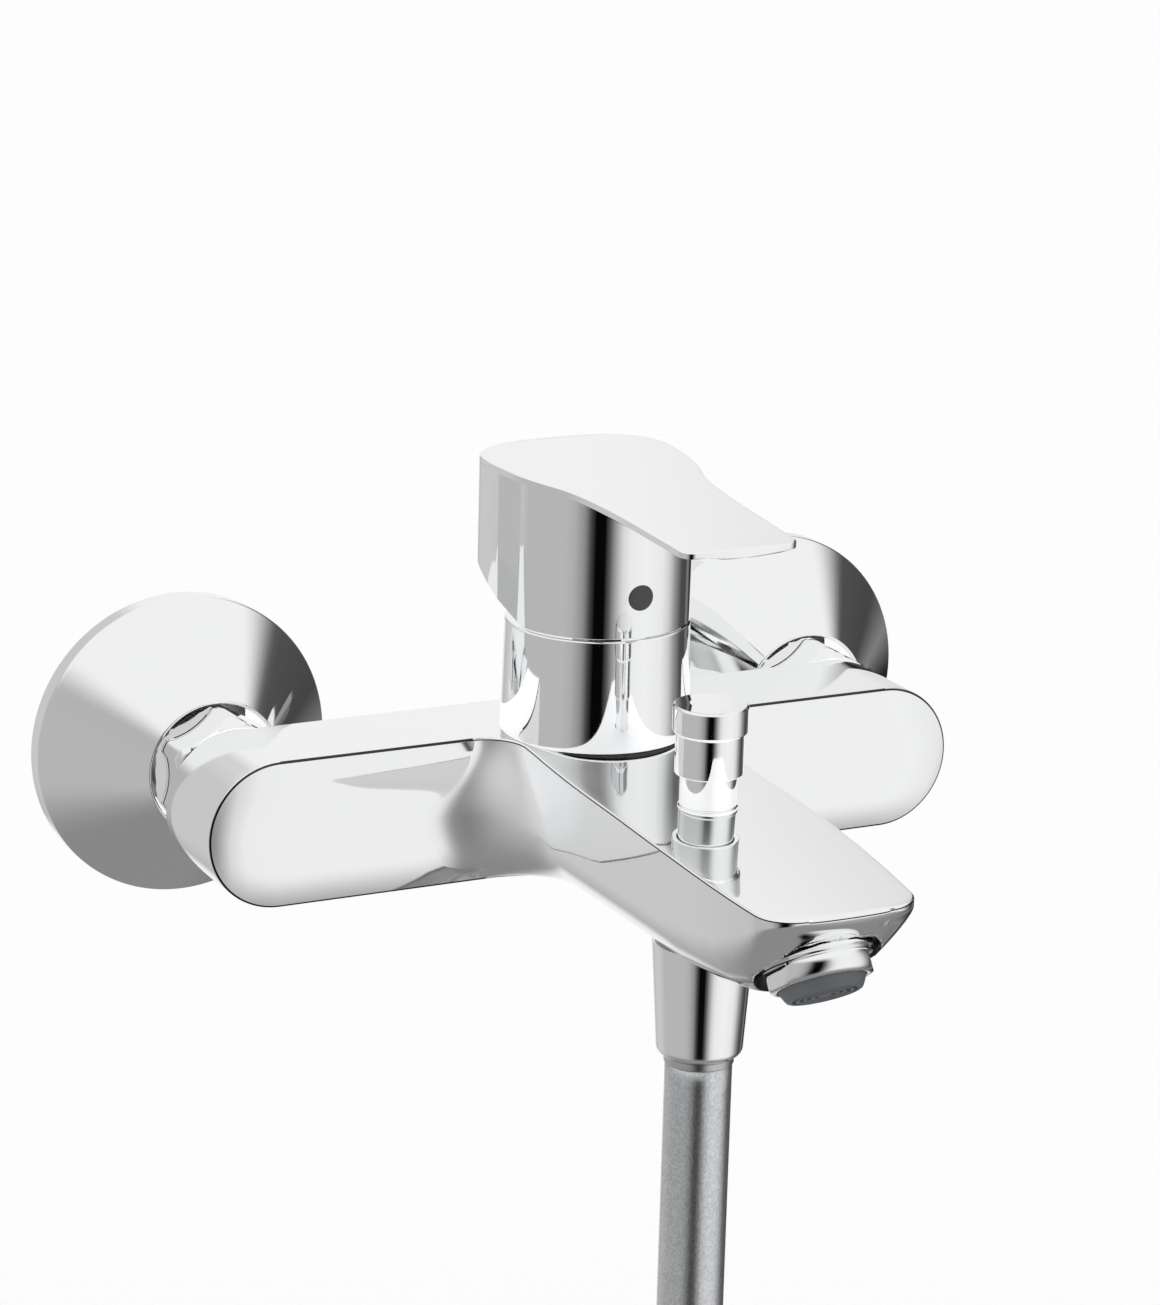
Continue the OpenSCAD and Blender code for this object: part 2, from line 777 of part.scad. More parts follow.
module shower_nipple() {
    color("goldenrod") at_diverter() difference() {
        union() {
            rod(thread_r, nipple_end_z, seat_low_z);
            rod(nipple_flange_r, -spout_base_z - 0.8, -spout_base_z);
        }
        rod(seat_hole_r - 0.2, valve_top_z - cut, seat_low_z + cut);
        rod(valve_bore_r, nipple_end_z - cut, valve_top_z);
    }
}

valve_seat_z = valve_top_z - 2;
guide_plate_z = nipple_end_z + 2;
poppet_t = 1.2;

module check_valve_case() {
    color("white") at_diverter() difference() {
        rod(valve_bore_r - slip, nipple_end_z + 0.2, valve_top_z - 0.1);
        rod(3.9, valve_seat_z - cut, valve_top_z + cut);
        rod(valve_bore_r - 1.1, guide_plate_z, valve_seat_z);
        rod(1.15, nipple_end_z - cut, guide_plate_z + cut);
        for (a = [45:90:315]) rotate([0, 0, a]) translate([3.4, 0, 0])
            rod(1.5, nipple_end_z - cut, guide_plate_z + cut);
    }
}

module check_valve_poppet() {
    color("steelblue") at_diverter() {
        rod(4.9, valve_seat_z - poppet_t, valve_seat_z);
        rod(1.05, nipple_end_z + 0.8, valve_seat_z);
    }
}

module check_valve_spring() {
    color("silver") at_diverter()
        coil_spring(2.4, 0.6, guide_plate_z, valve_seat_z - poppet_t, 4);
}

module hose_nut() {
    wide = hose_nut_d / 2;
    narrow = wide - 1.5;
    corner = 2;
    color("gainsboro") at_diverter() difference() {
        rotate_extrude() polygon(concat(
            [[0, nut_top_z], [wide - 0.4, nut_top_z], [wide, nut_top_z - 0.4]],
            arc(narrow - corner, nut_end_z + corner, corner, 0, -80, 6),
            [[0, nut_end_z]]
        ));
        rod(thread_r + slip, hose_flange_end_z, nut_top_z + cut);
        rod(hose_r + 0.1, nut_end_z - cut, hose_flange_end_z + cut);
    }
}

module hose_gasket() {
    color("black") at_diverter() tube(thread_r - 0.1, 5, hose_seal_end_z, nipple_end_z);
}

module hose_nozzle() {
    color("goldenrod") at_diverter() difference() {
        union() {
            rod(thread_r - 0.1, hose_flange_end_z, hose_seal_end_z);
            rod(hose_r, hose_points[0][2], hose_flange_end_z);
        }
        rod(4.5, hose_points[0][2] - cut, hose_seal_end_z + cut);
    }
}

// Crimped end rings of the hose, one under each nut.
module hose_ferrules() {
    grip = 6;
    color("silver") at_diverter() {
        tube(hose_r + 0.4, hose_r, nut_end_z - grip, nut_end_z - 0.05);
        translate([0, tail_points[0][1], 0]) tube(hose_r + 0.4, hose_r, tail_end_z, tail_end_z + grip);
    }
}

module shower_hose() {
    color("silver") at_diverter() swept(hose_points, hose_r, 12, [0, 1, 0]);
}

// Outer shape of the coiled stretch: two turns beside each other, hanging in one plane.
module hose_coil() {
    across = coil_turns * turn_pitch;
    color("silver") at_diverter() translate([coil_r, 0, coil_z]) rotate([-90, 0, 0])
        rotate_extrude($fn = 96) translate([coil_r, 0]) slot_2d(hose_r, 0, across);
}

module hose_tail() {
    color("silver") at_diverter() swept(tail_points, hose_r, 12, [0, 1, 0]);
}

// Strap around all the turns at the top of the coil.
module hose_tie() {
    band = 1.2;
    width = 9;
    across = coil_turns * turn_pitch;
    color("black") at_diverter() translate([coil_r, 0, coil_z + coil_r]) rotate([0, 90, 0])
        linear_extrude(width, center = true) difference() {
            slot_2d(hose_r + 0.4 + band, 0, across);
            slot_2d(hose_r + 0.4, 0, across);
        }
}

// Conical nut on the free end of the hose, open downwards.
module hand_shower_nut() {
    narrow = hose_r + 3;
    wide = hand_thread_d / 2 + 1.8;
    top = tail_end_z;
    color("gainsboro") at_diverter() translate([0, tail_points[0][1], 0]) difference() {
        rotate_extrude() polygon([
            [0, top], [narrow - 1, top], [narrow, top - 1], [wide, top - hand_nut_len + 1],
            [wide - 0.6, top - hand_nut_len], [0, top - hand_nut_len]
        ]);
        rod(4.5, top - hand_nut_len - cut, top + cut);
        rod(hand_thread_d / 2, top - hand_nut_len - cut, top - hand_nut_len + hand_bore_len);
        rod(hand_gasket_r + 0.1, top - hand_nut_len, top - hand_nut_len + hand_bore_len + hand_gasket_t);
    }
}

module hand_shower_gasket() {
    base = tail_end_z - hand_nut_len + hand_bore_len;
    color("black") at_diverter() translate([0, tail_points[0][1], 0])
        tube(hand_gasket_r, 4.5, base, base + hand_gasket_t);
}

// --- aerator ---

module aerator_housing() {
    flat = aerator_r - 0.9;
    color("gainsboro") at_outlet() difference() {
        intersection() {
            rotate_extrude() polygon([
                [aerator_r - 2.6, 6], [aerator_r - 1 - slip, 6], [aerator_r - 1 - slip, 0],
                [aerator_r - 0.4, 0], [aerator_r + 0.2, -0.3], [aerator_r + 0.2, -0.9],
                [aerator_r - 0.6, -1.2], [aerator_r - 0.6, -1.7], [aerator_r, -2.1],
                [aerator_r - 0.8, -5.4], [aerator_r - 1.4, -6], [aerator_r - 2.6, -6.4]
            ]);
            for (turn = [0, 1]) rotate([0, 0, 180 * turn]) rod(2 * aerator_r, -10, 10);
        }
        for (a = [150, 188, -30, 8]) rotate([0, 0, a]) translate([flat + 2, 0, -4.2])
            cube([4, 12, 4.6], center = true);
    }
}

module aerator_insert() {
    bore = aerator_r - 2.6;
    face_r = 7.7;
    color("gray") at_outlet() difference() {
        union() {
            rotate_extrude() polygon([
                [0, 4], [bore, 4], [bore, -6.2], [face_r + 0.5, -8.2], [face_r, -8.7], [0, -8.7]
            ]);
        }
        for (r = [1.2:1.6:6]) tube(r + 1, r, -10, -7.9);
        rod(bore - 2, 1, 5);
    }
}

module aerator_gasket() {
    color("black") at_outlet() tube(aerator_r - 1.1, aerator_r - 3.5, 6, aerator_seat);
}

faucet_body();
rosette(-1);  // left_rosette
rosette(1);  // right_rosette
s_union(-1);  // left_s_union
s_union(1);  // right_s_union
union_nut(-1);  // left_union_nut
union_nut(1);  // right_union_nut
inlet_nipple(-1);  // left_inlet_nipple
inlet_nipple(1);  // right_inlet_nipple
filter_gasket(-1);  // left_filter_gasket
filter_gasket(1);  // right_filter_gasket
cartridge_sleeve();
cartridge_nut();
cartridge_housing();
cartridge_base();
cartridge_seals();
fixed_disc();
moving_disc();
disc_carrier();
swivel_rotor();
lever_pivot_pin();
limit_ring();
lever_stem();
lever_handle();
grub_screw();
index_plug();
diverter_knob();
diverter_stem();
diverter_disc();
diverter_seals();
diverter_spring();
diverter_bonnet();
diverter_o_ring();
shower_nipple();
check_valve_case();
check_valve_poppet();
check_valve_spring();
hose_nut();
hose_gasket();
hose_nozzle();
hose_ferrules();
shower_hose();
hose_coil();
hose_tail();
hose_tie();
hand_shower_nut();
hand_shower_gasket();
aerator_housing();
aerator_insert();
aerator_gasket();
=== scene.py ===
"""Wall mounted bath faucet: chrome cast body, lever, diverter, rosettes, aerator and shower hose.

Shapes are worked out in millimetres from the mixer's own inlet axis, and placed in metres in the
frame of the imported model, whose origin is on the wall between the two wall threads.
"""

import json
import math
from collections import namedtuple

import bmesh
import bpy
import numpy as np
from bpy.props import FloatProperty, FloatVectorProperty, PointerProperty
from mathutils import Matrix, Vector


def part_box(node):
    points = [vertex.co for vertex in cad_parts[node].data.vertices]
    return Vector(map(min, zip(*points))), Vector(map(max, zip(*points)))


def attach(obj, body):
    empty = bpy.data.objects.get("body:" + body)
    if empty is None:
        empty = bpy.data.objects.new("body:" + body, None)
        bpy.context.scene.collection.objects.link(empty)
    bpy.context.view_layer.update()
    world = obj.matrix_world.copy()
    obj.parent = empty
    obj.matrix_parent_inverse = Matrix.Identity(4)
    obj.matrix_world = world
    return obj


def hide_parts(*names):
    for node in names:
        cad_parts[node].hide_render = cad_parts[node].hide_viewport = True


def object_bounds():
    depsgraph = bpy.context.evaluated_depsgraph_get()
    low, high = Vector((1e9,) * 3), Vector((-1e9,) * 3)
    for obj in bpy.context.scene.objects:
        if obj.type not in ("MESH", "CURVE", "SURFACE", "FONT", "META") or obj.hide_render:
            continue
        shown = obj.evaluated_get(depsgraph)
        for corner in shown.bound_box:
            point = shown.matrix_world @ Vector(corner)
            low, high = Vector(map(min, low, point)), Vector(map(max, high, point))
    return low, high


bl_info = {
    "name": "Bath Faucet",
    "version": (1, 0, 0),
    "blender": (4, 5, 0),
    "location": "3D View > Sidebar > Faucet",
    "description": "Builds the visible surfaces and materials of a wall mounted bath faucet",
    "category": "Object",
}

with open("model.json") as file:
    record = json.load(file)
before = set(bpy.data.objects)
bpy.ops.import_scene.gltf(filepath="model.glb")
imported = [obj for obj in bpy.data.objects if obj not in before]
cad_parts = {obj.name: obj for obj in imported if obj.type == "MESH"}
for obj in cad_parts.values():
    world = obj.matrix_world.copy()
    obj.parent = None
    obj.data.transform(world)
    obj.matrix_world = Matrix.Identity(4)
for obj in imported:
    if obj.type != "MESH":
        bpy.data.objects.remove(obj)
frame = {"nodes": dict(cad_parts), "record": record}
cad_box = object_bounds()
MM = 0.001
ROOT = "mixer"


def axis_of(node):
    """The middle of a node in plan, in millimetres."""
    low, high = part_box(node)
    return (low[0] + high[0]) / 2 / MM, (low[1] + high[1]) / 2 / MM


def heights_of(node):
    """Lowest and highest point of a node, in millimetres above the mixer's inlet axis."""
    low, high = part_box(node)
    return low[2] / MM + ECCENTRIC, high[2] / MM + ECCENTRIC


# In millimetres: how far the wall threads stand above the mixer's inlets, and the inlets' distance
# from its middle.
ECCENTRIC = 8.0
INLET_X = 75.0
CART_Y = axis_of("cartridge_sleeve")[1]
DIVERTER_Y = axis_of("diverter_knob")[1]
OUTLET = (0, -163.3, -7.4)
OUTLET_TILT = math.radians(33)
BODY_TIP_Y, BODY_BACK_Y = (corner[1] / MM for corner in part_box("faucet_body"))
LEVER_TIP_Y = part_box("lever_handle")[0][1] / MM


# --- sizes and colours that a user may change ---

LENGTH = {"subtype": "DISTANCE", "unit": "LENGTH"}
COLOR = {"subtype": "COLOR", "size": 3, "min": 0, "max": 1}


class FaucetFinish(bpy.types.PropertyGroup):
    """Colours and gloss of the faucet's materials."""

    chrome_color: FloatVectorProperty(
        name="Chrome", description="Colour of the chrome plate",
        default=(0.93, 0.935, 0.94), **COLOR)
    chrome_roughness: FloatProperty(
        name="Chrome roughness", description="Haze of the polished plate",
        subtype="FACTOR", min=0, max=1, default=0.035)
    hose_color: FloatVectorProperty(
        name="Hose", description="Colour of the hose's silver skin",
        default=(0.66, 0.67, 0.68), **COLOR)
    insert_color: FloatVectorProperty(
        name="Aerator insert", description="Colour of the soft insert",
        default=(0.10, 0.105, 0.115), **COLOR)
    index_color: FloatVectorProperty(
        name="Index plug", description="Colour of the plug in the lever's hub",
        default=(0.045, 0.045, 0.05), **COLOR)
    brass_color: FloatVectorProperty(
        name="Brass", description="Colour of the bare brass parts",
        default=(0.70, 0.50, 0.22), **COLOR)


class FaucetBodyShape(bpy.types.PropertyGroup):
    """Rounding and crowning of the cast body."""

    edge: FloatProperty(
        name="Edge radius", description="Rounding of the body's crisp edges",
        min=0.0002, max=0.002, default=0.0005, **LENGTH)
    crown: FloatProperty(
        name="Face crown", description="How far the bar's front face bulges",
        min=0, max=0.003, default=0.0015, **LENGTH)
    crown_width: FloatProperty(
        name="Crown width", description="Width of the curved border of the front face",
        min=0.002, max=0.016, default=0.010, **LENGTH)
    fillet_top: FloatProperty(
        name="Upper fillet", description="Fillet between bar and spout at the top edge",
        min=0.004, max=0.02, default=0.0085, **LENGTH)
    fillet_low: FloatProperty(
        name="Lower fillet", description="Fillet between bar and spout lower down",
        min=0.006, max=0.03, default=0.021, **LENGTH)


class FaucetLeverShape(bpy.types.PropertyGroup):
    """Shape of the lever."""

    edge: FloatProperty(
        name="Edge radius", description="Rounding of the lever's edges",
        min=0.0002, max=0.002, default=0.0004, **LENGTH)
    lip: FloatProperty(
        name="Edge height", description="Height of the blade's upright edge",
        min=0.0006, max=0.004, default=0.0014, **LENGTH)
    wall: FloatProperty(
        name="Hub wall", description="Wall thickness of the hollow hub",
        min=0.001, max=0.003, default=0.0018, **LENGTH)


class FaucetHoseShape(bpy.types.PropertyGroup):
    """Size of the shower hose."""

    diameter: FloatProperty(
        name="Hose diameter", description="Outer diameter of the hose",
        min=0.01, max=0.02, default=0.0146, **LENGTH)
    length: FloatProperty(
        name="Hose length", description="Real length of the hose between its nuts",
        min=0.5, max=2.0, default=1.25, **LENGTH)


class FaucetStage(bpy.types.PropertyGroup):
    """Camera and studio."""

    eye: FloatVectorProperty(
        name="Camera place", description="Where the camera stands", subtype="XYZ",
        size=3, default=(-0.44106, -0.92209, 0.30088))
    yaw: FloatProperty(
        name="Camera turn", description="Turn to the right of straight at the wall",
        subtype="ANGLE", default=math.radians(26.93))
    pitch: FloatProperty(
        name="Camera tilt", description="Tilt below the horizon",
        subtype="ANGLE", default=math.radians(16.14))
    roll: FloatProperty(
        name="Camera roll", description="Roll about the line of sight",
        subtype="ANGLE", default=math.radians(1.56))
    lens: FloatProperty(
        name="Focal length", description="Focal length in millimetres for a 36 mm sensor",
        min=20, max=300, default=125.87)
    light: FloatProperty(
        name="Studio light", description="Brightness of the white studio",
        min=0, max=5, default=1.0)
    floor_color: FloatVectorProperty(
        name="Floor", description="Colour of the floor", default=(0.99, 0.99, 0.99), **COLOR)


# --- mesh helpers ---


def place(points):
    """Millimetres from the mixer's inlet axis to metres in the frame."""
    p = np.asarray(points, float).reshape(-1, 3).copy()
    p[:, 2] -= ECCENTRIC
    return p * MM


class Skin:
    """Collects surface patches in millimetres and joins them to one mesh."""

    def __init__(self):
        self.verts = []
        self.faces = []
        self.slots = []

    def patch(self, grid, edges=()):
        """Quads over a grid of points, given as rows of [x, y, z]; edges lists edge columns, whose quads
        take the second slot, chrome painted dark as a painted reflection.
        """
        rows, cols = len(grid), len(grid[0])
        base = len(self.verts)
        self.verts.extend(p for row in grid for p in row)
        for i in range(rows - 1):
            for j in range(cols - 1):
                a = base + i * cols + j
                self.faces.append((a, a + 1, a + cols + 1, a + cols))
                self.slots.append(1 if j in edges else 0)

    def mirror(self):
        """Adds the mirror image across the plane x = 0."""
        count = len(self.verts)
        self.verts.extend([(-p[0], p[1], p[2]) for p in self.verts])
        self.faces.extend([tuple(count + i for i in reversed(f)) for f in self.faces])
        self.slots.extend(self.slots)

    def build(self, name, merge=0.004):
        """The mesh object, with doubles joined and normals outward."""
        mesh = bpy.data.meshes.new(name)
        mesh.from_pydata([tuple(v) for v in place(self.verts)], [], self.faces)
        mesh.polygons.foreach_set("material_index", self.slots)
        work = bmesh.new()
        work.from_mesh(mesh)
        bmesh.ops.remove_doubles(work, verts=work.verts, dist=merge * MM)
        bmesh.ops.dissolve_degenerate(work, edges=work.edges, dist=1e-7)
        bmesh.ops.recalc_face_normals(work, faces=work.faces)
        work.to_mesh(mesh)
        work.free()
        return put(name, mesh)


def put(name, mesh):
    """Links a mesh to the scene as a smooth object."""
    obj = bpy.data.objects.new(name, mesh)
    bpy.context.collection.objects.link(obj)
    mesh.shade_smooth()
    return obj


def crisp(obj, angle=math.radians(38)):
    """Keeps edges sharper than the angle crisp, and flat faces flat by weighted normals."""
    obj.data.set_sharp_from_angle(angle=angle)
    normals = obj.modifiers.new("face weighted normals", "WEIGHTED_NORMAL")
    normals.keep_sharp = True
    normals.weight = 70
    return obj


def ease(t):
    """Smooth step from 0 to 1."""
    t = min(max(t, 0.0), 1.0)
    return t * t * (3 - 2 * t)


def steps(a, b, count):
    """Evenly spaced values from a to b, both included."""
    return [a + (b - a) * i / count for i in range(count + 1)]


def cos_sin(degrees):
    """Cosine and sine of an angle in degrees."""
    return math.cos(math.radians(degrees)), math.sin(math.radians(degrees))


def between(low, high, t, a, b):
    """The value at t on the straight line from a at low to b at high."""
    return (high - t) / (high - low) * a + (t - low) / (high - low) * b


def spline(points, per_span=6):
    """A smooth line through the given 2-D points."""
    p = [np.array(q, float) for q in points]
    p = [2 * p[0] - p[1]] + p + [2 * p[-1] - p[-2]]
    line = []
    for i in range(1, len(p) - 2):
        knots = [0.0]
        for k in range(3):
            knots.append(knots[-1] + max(np.linalg.norm(p[i + k] - p[i + k - 1]), 1e-6) ** 0.5)
        for s in range(per_span):
            t = knots[1] + (knots[2] - knots[1]) * s / per_span
            a = [between(*knots[k:k + 2], t, p[i + k - 1], p[i + k]) for k in range(3)]
            b = [between(knots[k], knots[k + 2], t, a[k], a[k + 1]) for k in range(2)]
            line.append(between(*knots[1:3], t, *b))
    line.append(p[-2])
    return line


def follow(table, x):
    """Value at x on the smooth line through a short table of (x, value) pairs."""
    xs = [a for a, _ in table]
    ys = [b for _, b in table]
    n = len(xs)
    if x <= xs[0]:
        return ys[0]
    if x >= xs[-1]:
        return ys[-1]
    slopes = [(ys[i + 1] - ys[i]) / (xs[i + 1] - xs[i]) for i in range(n - 1)]
    tangents = [slopes[0]]
    for i in range(1, n - 1):
        a, b = slopes[i - 1], slopes[i]
        tangents.append(0.0 if a * b <= 0 else 2 * a * b / (a + b))
    tangents.append(slopes[-1])
    i = max(k for k in range(n - 1) if xs[k] <= x)
    h = xs[i + 1] - xs[i]
    t = (x - xs[i]) / h
    return ((1 + 2 * t) * (1 - t) ** 2 * ys[i] + t * (1 - t) ** 2 * h * tangents[i]
            + t * t * (3 - 2 * t) * ys[i + 1] + t * t * (t - 1) * h * tangents[i + 1])


def rounded(profile, radius, arc_steps=4):
    """A profile of [radius, height] points with its inner corners rounded."""
    p = [np.array(q, float) for q in profile]
    line = [p[0]]
    for before, here, after in zip(p, p[1:], p[2:]):
        u, v = before - here, after - here
        lu, lv = np.linalg.norm(u), np.linalg.norm(v)
        u, v = u / lu, v / lv
        half = math.acos(max(-1.0, min(1.0, float(u @ v)))) / 2
        reach = min(radius / max(math.tan(half), 1e-3), 0.45 * lu, 0.45 * lv)
        for t in steps(0, 1, arc_steps):
            line.append(here + u * reach * (1 - t) ** 2 + v * reach * t ** 2)
    line.append(p[-1])
    return line


def lathe(name, profile, turn, sides=128, shape=None):
    """Turns a profile of [radius, height] about Z, then moves it with the given matrix (mm).

    shape(radius, height, angle) may change the radius, for wrench flats and the like.
    """
    skin = Skin()
    grid = []
    for radius, height in profile:
        row = []
        for k in range(sides + 1):
            angle = 2 * math.pi * (k % sides) / sides
            r = shape(radius, height, angle) if shape else radius
            row.append(tuple(turn @ Vector((r * math.cos(angle), r * math.sin(angle), height))))
        grid.append(row)
    skin.patch(grid)
    return crisp(skin.build(name, merge=0.002))


def upright(y, x=0.0):
    """Matrix for a round part on an upright axis."""
    return Matrix.Translation((x, y, 0))


def out_of_wall(side):
    """Matrix for a round part on one inlet's axis: its local Z points into the room."""
    return Matrix.Translation((side * INLET_X, 0, 0)) @ Matrix.Rotation(math.pi / 2, 4, "X")


def at_outlet():
    """Matrix for a round part on the outlet's tilted axis."""
    return Matrix.Translation(Vector(OUTLET)) @ Matrix.Rotation(-OUTLET_TILT, 4, "X")


# --- shader helpers ---


def feed(tree, socket, value):
    """Sets a socket to a plain value, or links it to another node's output."""
    if isinstance(value, bpy.types.NodeSocket):
        tree.links.new(value, socket)
    else:
        socket.default_value = value


def node_with(tree, kind, inputs, **settings):
    """A new shader node with its settings, and with its inputs fed by name or number."""
    node = tree.nodes.new("ShaderNode" + kind)
    for name, value in settings.items():
        setattr(node, name, value)
    for key, value in inputs.items():
        feed(tree, node.inputs[key], value)
    return node


def output_of(tree, kind, label):
    """One output of a new shader node that needs no inputs."""
    return tree.nodes.new("ShaderNode" + kind).outputs[label]


def calc(tree, operation, *values):
    """The result of a maths node."""
    return node_with(tree, "Math", dict(enumerate(values)), operation=operation).outputs[0]


def map_range(tree, value, low, high, kind="SMOOTHSTEP"):
    """The value's place between low and high, from 0 to 1."""
    inputs = {"Value": value, "From Min": low, "From Max": high}
    return node_with(tree, "MapRange", inputs, interpolation_type=kind).outputs["Result"]


def mix_colors(tree, factor, first, second):
    """The result of a colour mix node."""
    node = node_with(tree, "Mix", {"Factor": factor}, data_type="RGBA")
    sockets = {s.identifier: s for s in (*node.inputs, *node.outputs)}
    feed(tree, sockets["A_Color"], first)
    feed(tree, sockets["B_Color"], second)
    return sockets["Result_Color"]


def grey(level):
    """A grey colour."""
    return level, level, level, 1


# --- materials ---

# How deep the finest relief of a surface is, in metres.
GRAIN_DEPTH = 0.0001
# How much rougher the body looks in reflections and in its hollows, and how bright its painted glow is
# where it is seen in reflections.
MIRRORED_HAZE = 0.6
HOLLOW_HAZE = 0.42
PAINTED_GLOW_IN_REFLECTIONS = 0.34

Finish = namedtuple("Finish", "color metallic roughness variation bump scale", defaults=(40.0,))


def plain_finishes():
    """The finishes that differ only in their numbers, by the names of their materials."""
    chosen = bpy.context.scene.faucet_finish
    return {
        "polished chrome": Finish(chosen.chrome_color, 1.0, chosen.chrome_roughness, 0.02, 0.0, 25.0),
        # The finely rounded edges, in chrome painted dark: painted dark reflection as thin lines; it also
        # paints the shadow line under the sleeve and the shade in the aerator's recess.
        "edge chrome": Finish((0.05, 0.05, 0.052), 1.0, 0.12, 0.02, 0.0, 25.0),
        "dull nickel": Finish((0.34, 0.33, 0.31), 1.0, 0.2, 0.1, 0.1, 120.0),
        "machined brass": Finish(chosen.brass_color, 1.0, 0.28, 0.12, 0.15, 120.0),
        "turned steel": Finish((0.55, 0.55, 0.56), 1.0, 0.25, 0.1, 0.1, 150.0),
        "black rubber": Finish((0.02, 0.02, 0.02), 0.0, 0.55, 0.15, 0.2),
        "dark plug": Finish(chosen.index_color, 0.0, 0.25, 0.08, 0.05),
        "grey silicone": Finish(chosen.insert_color, 0.0, 0.42, 0.12, 0.2, 200.0),
        "light plastic": Finish((0.62, 0.62, 0.60), 0.0, 0.45, 0.1, 0.15),
        "dark plastic": Finish((0.035, 0.035, 0.038), 0.0, 0.4, 0.1, 0.15),
        "red plastic": Finish((0.5, 0.03, 0.025), 0.0, 0.4, 0.1, 0.15),
        "blue plastic": Finish((0.03, 0.12, 0.42), 0.0, 0.4, 0.1, 0.15),
        "lapped ceramic": Finish((0.85, 0.84, 0.80), 0.0, 0.3, 0.05, 0.03),
    }


def polish_group():
    """Fine haze and water marks of a polished or moulded surface: a roughness and a height."""
    name = "polish marks"
    if name in bpy.data.node_groups:
        return bpy.data.node_groups[name]
    tree = bpy.data.node_groups.new(name, "ShaderNodeTree")
    defaults = {"Roughness": 0.05, "Variation": 0.02, "Scale": 40.0, "Grain Scale": 900.0}
    for label, value in defaults.items():
        socket = tree.interface.new_socket(label, in_out="INPUT", socket_type="NodeSocketFloat")
        socket.default_value = value
    for label in ("Roughness", "Height"):
        tree.interface.new_socket(label, in_out="OUTPUT", socket_type="NodeSocketFloat")
    entry = tree.nodes.new("NodeGroupInput").outputs
    result = tree.nodes.new("NodeGroupOutput").inputs
    where = output_of(tree, "TexCoord", "Object")
    cloud = node_with(tree, "TexNoise", {"Vector": where, "Scale": entry["Scale"], "Detail": 3})
    grain = node_with(tree, "TexNoise", {"Vector": where, "Scale": entry["Grain Scale"], "Detail": 2})
    spread = calc(tree, "MULTIPLY", cloud.outputs["Fac"], entry["Variation"])
    feed(tree, result["Roughness"], calc(tree, "ADD", spread, entry["Roughness"]))
    feed(tree, result["Height"], grain.outputs["Fac"])
    return tree


def polish_marks(tree, finish):
    """The outputs of the polish marks, set for one finish."""
    inputs = {"Roughness": finish.roughness, "Variation": finish.variation, "Scale": finish.scale}
    return node_with(tree, "Group", inputs, node_tree=polish_group()).outputs


def principled(name, color, metallic):
    """A new material, its tree and the inputs of its Principled shader."""
    material = bpy.data.materials.new(name)
    material.use_nodes = True
    inputs = material.node_tree.nodes["Principled BSDF"].inputs
    inputs["Base Color"].default_value = (*color, 1)
    inputs["Metallic"].default_value = metallic
    return material, material.node_tree, inputs


def add_relief(tree, shader, strength, height):
    """Raises the surface by a height that varies over it."""
    inputs = {"Strength": strength, "Distance": GRAIN_DEPTH, "Height": height}
    feed(tree, shader["Normal"], node_with(tree, "Bump", inputs).outputs["Normal"])


def surface(name):
    """Material of a plain finish, whose gloss varies with polish marks over a fine grain."""
    if name in bpy.data.materials:
        return bpy.data.materials[name]
    finish = plain_finishes()[name]
    material, tree, shader = principled(name, finish.color, finish.metallic)
    marks = polish_marks(tree, finish)
    feed(tree, shader["Roughness"], marks["Roughness"])
    add_relief(tree, shader, finish.bump, marks["Height"])
    return material


def body_chrome():
    """Chrome of the cast body, which looks softer where it is seen in its own faces, and gets a painted
    glow there.
    """
    name = "cast body chrome"
    if name in bpy.data.materials:
        return bpy.data.materials[name]
    finish = plain_finishes()["polished chrome"]
    material, tree, shader = principled(name, finish.color, finish.metallic)
    marks = polish_marks(tree, finish)
    mirrored = output_of(tree, "LightPath", "Is Glossy Ray")
    hollow = node_with(tree, "Attribute", {}, attribute_name="hollow").outputs["Fac"]
    soft = calc(tree, "MULTIPLY_ADD", mirrored, MIRRORED_HAZE, marks["Roughness"])
    feed(tree, shader["Roughness"], calc(tree, "MULTIPLY_ADD", hollow, HOLLOW_HAZE, soft))
    # Painted glow: the body emits light where it is seen in reflections, to brighten its mirror image.
    feed(tree, shader["Emission Color"], mix_colors(tree, mirrored, grey(0), grey(PAINTED_GLOW_IN_REFLECTIONS)))
    shader["Emission Strength"].default_value = 1.0
    return material


def hose_skin():
    """Clear skin over a silver foil braid: tiny flakes glint, fine threads run along it."""
    name = "silver hose"
    if name in bpy.data.materials:
        return bpy.data.materials[name]
    color = bpy.context.scene.faucet_finish.hose_color
    material, tree, shader = principled(name, color, 1.0)
    where = output_of(tree, "TexCoord", "UV")
    stretch = node_with(tree, "Mapping", {"Vector": where, "Scale": (120.0, 2400.0, 1.0)})
    flakes = node_with(tree, "TexVoronoi", {"Vector": stretch.outputs["Vector"], "Scale": 1.0}).outputs
    tone = node_with(tree, "ValToRGB", {"Fac": flakes["Color"]})
    for stop, place_in_ramp, gain in zip(tone.color_ramp.elements, (0.1, 0.9), (0.84, 1.16)):
        stop.position = place_in_ramp
        stop.color = (*[min(1.0, c * gain) for c in color], 1)
    feed(tree, shader["Base Color"], tone.outputs["Color"])
    add_relief(tree, shader, 0.22, flakes["Distance"])
    shader["Roughness"].default_value = 0.3
    shader["Coat Weight"].default_value = 0.25
    shader["Coat Roughness"].default_value = 0.08
    return material


# --- pieces ---


def fit(piece, materials, slot, *nodes, body=ROOT):
    """Gives a piece its materials and its body, and hides the CAD nodes that it stands for; the slot is
    not used.
    """
    for material in materials:
        piece.data.materials.append(material)
    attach(piece, body)
    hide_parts(*nodes)
    return piece


def turned(name, node, profile, turn, finish="polished chrome", slot="chrome_trim", body=ROOT, **extra):
    """A turned piece that stands for one CAD node."""
    return fit(lathe(name, profile, turn, **extra), [surface(finish)], slot, node, body=body)


# --- cast body ---


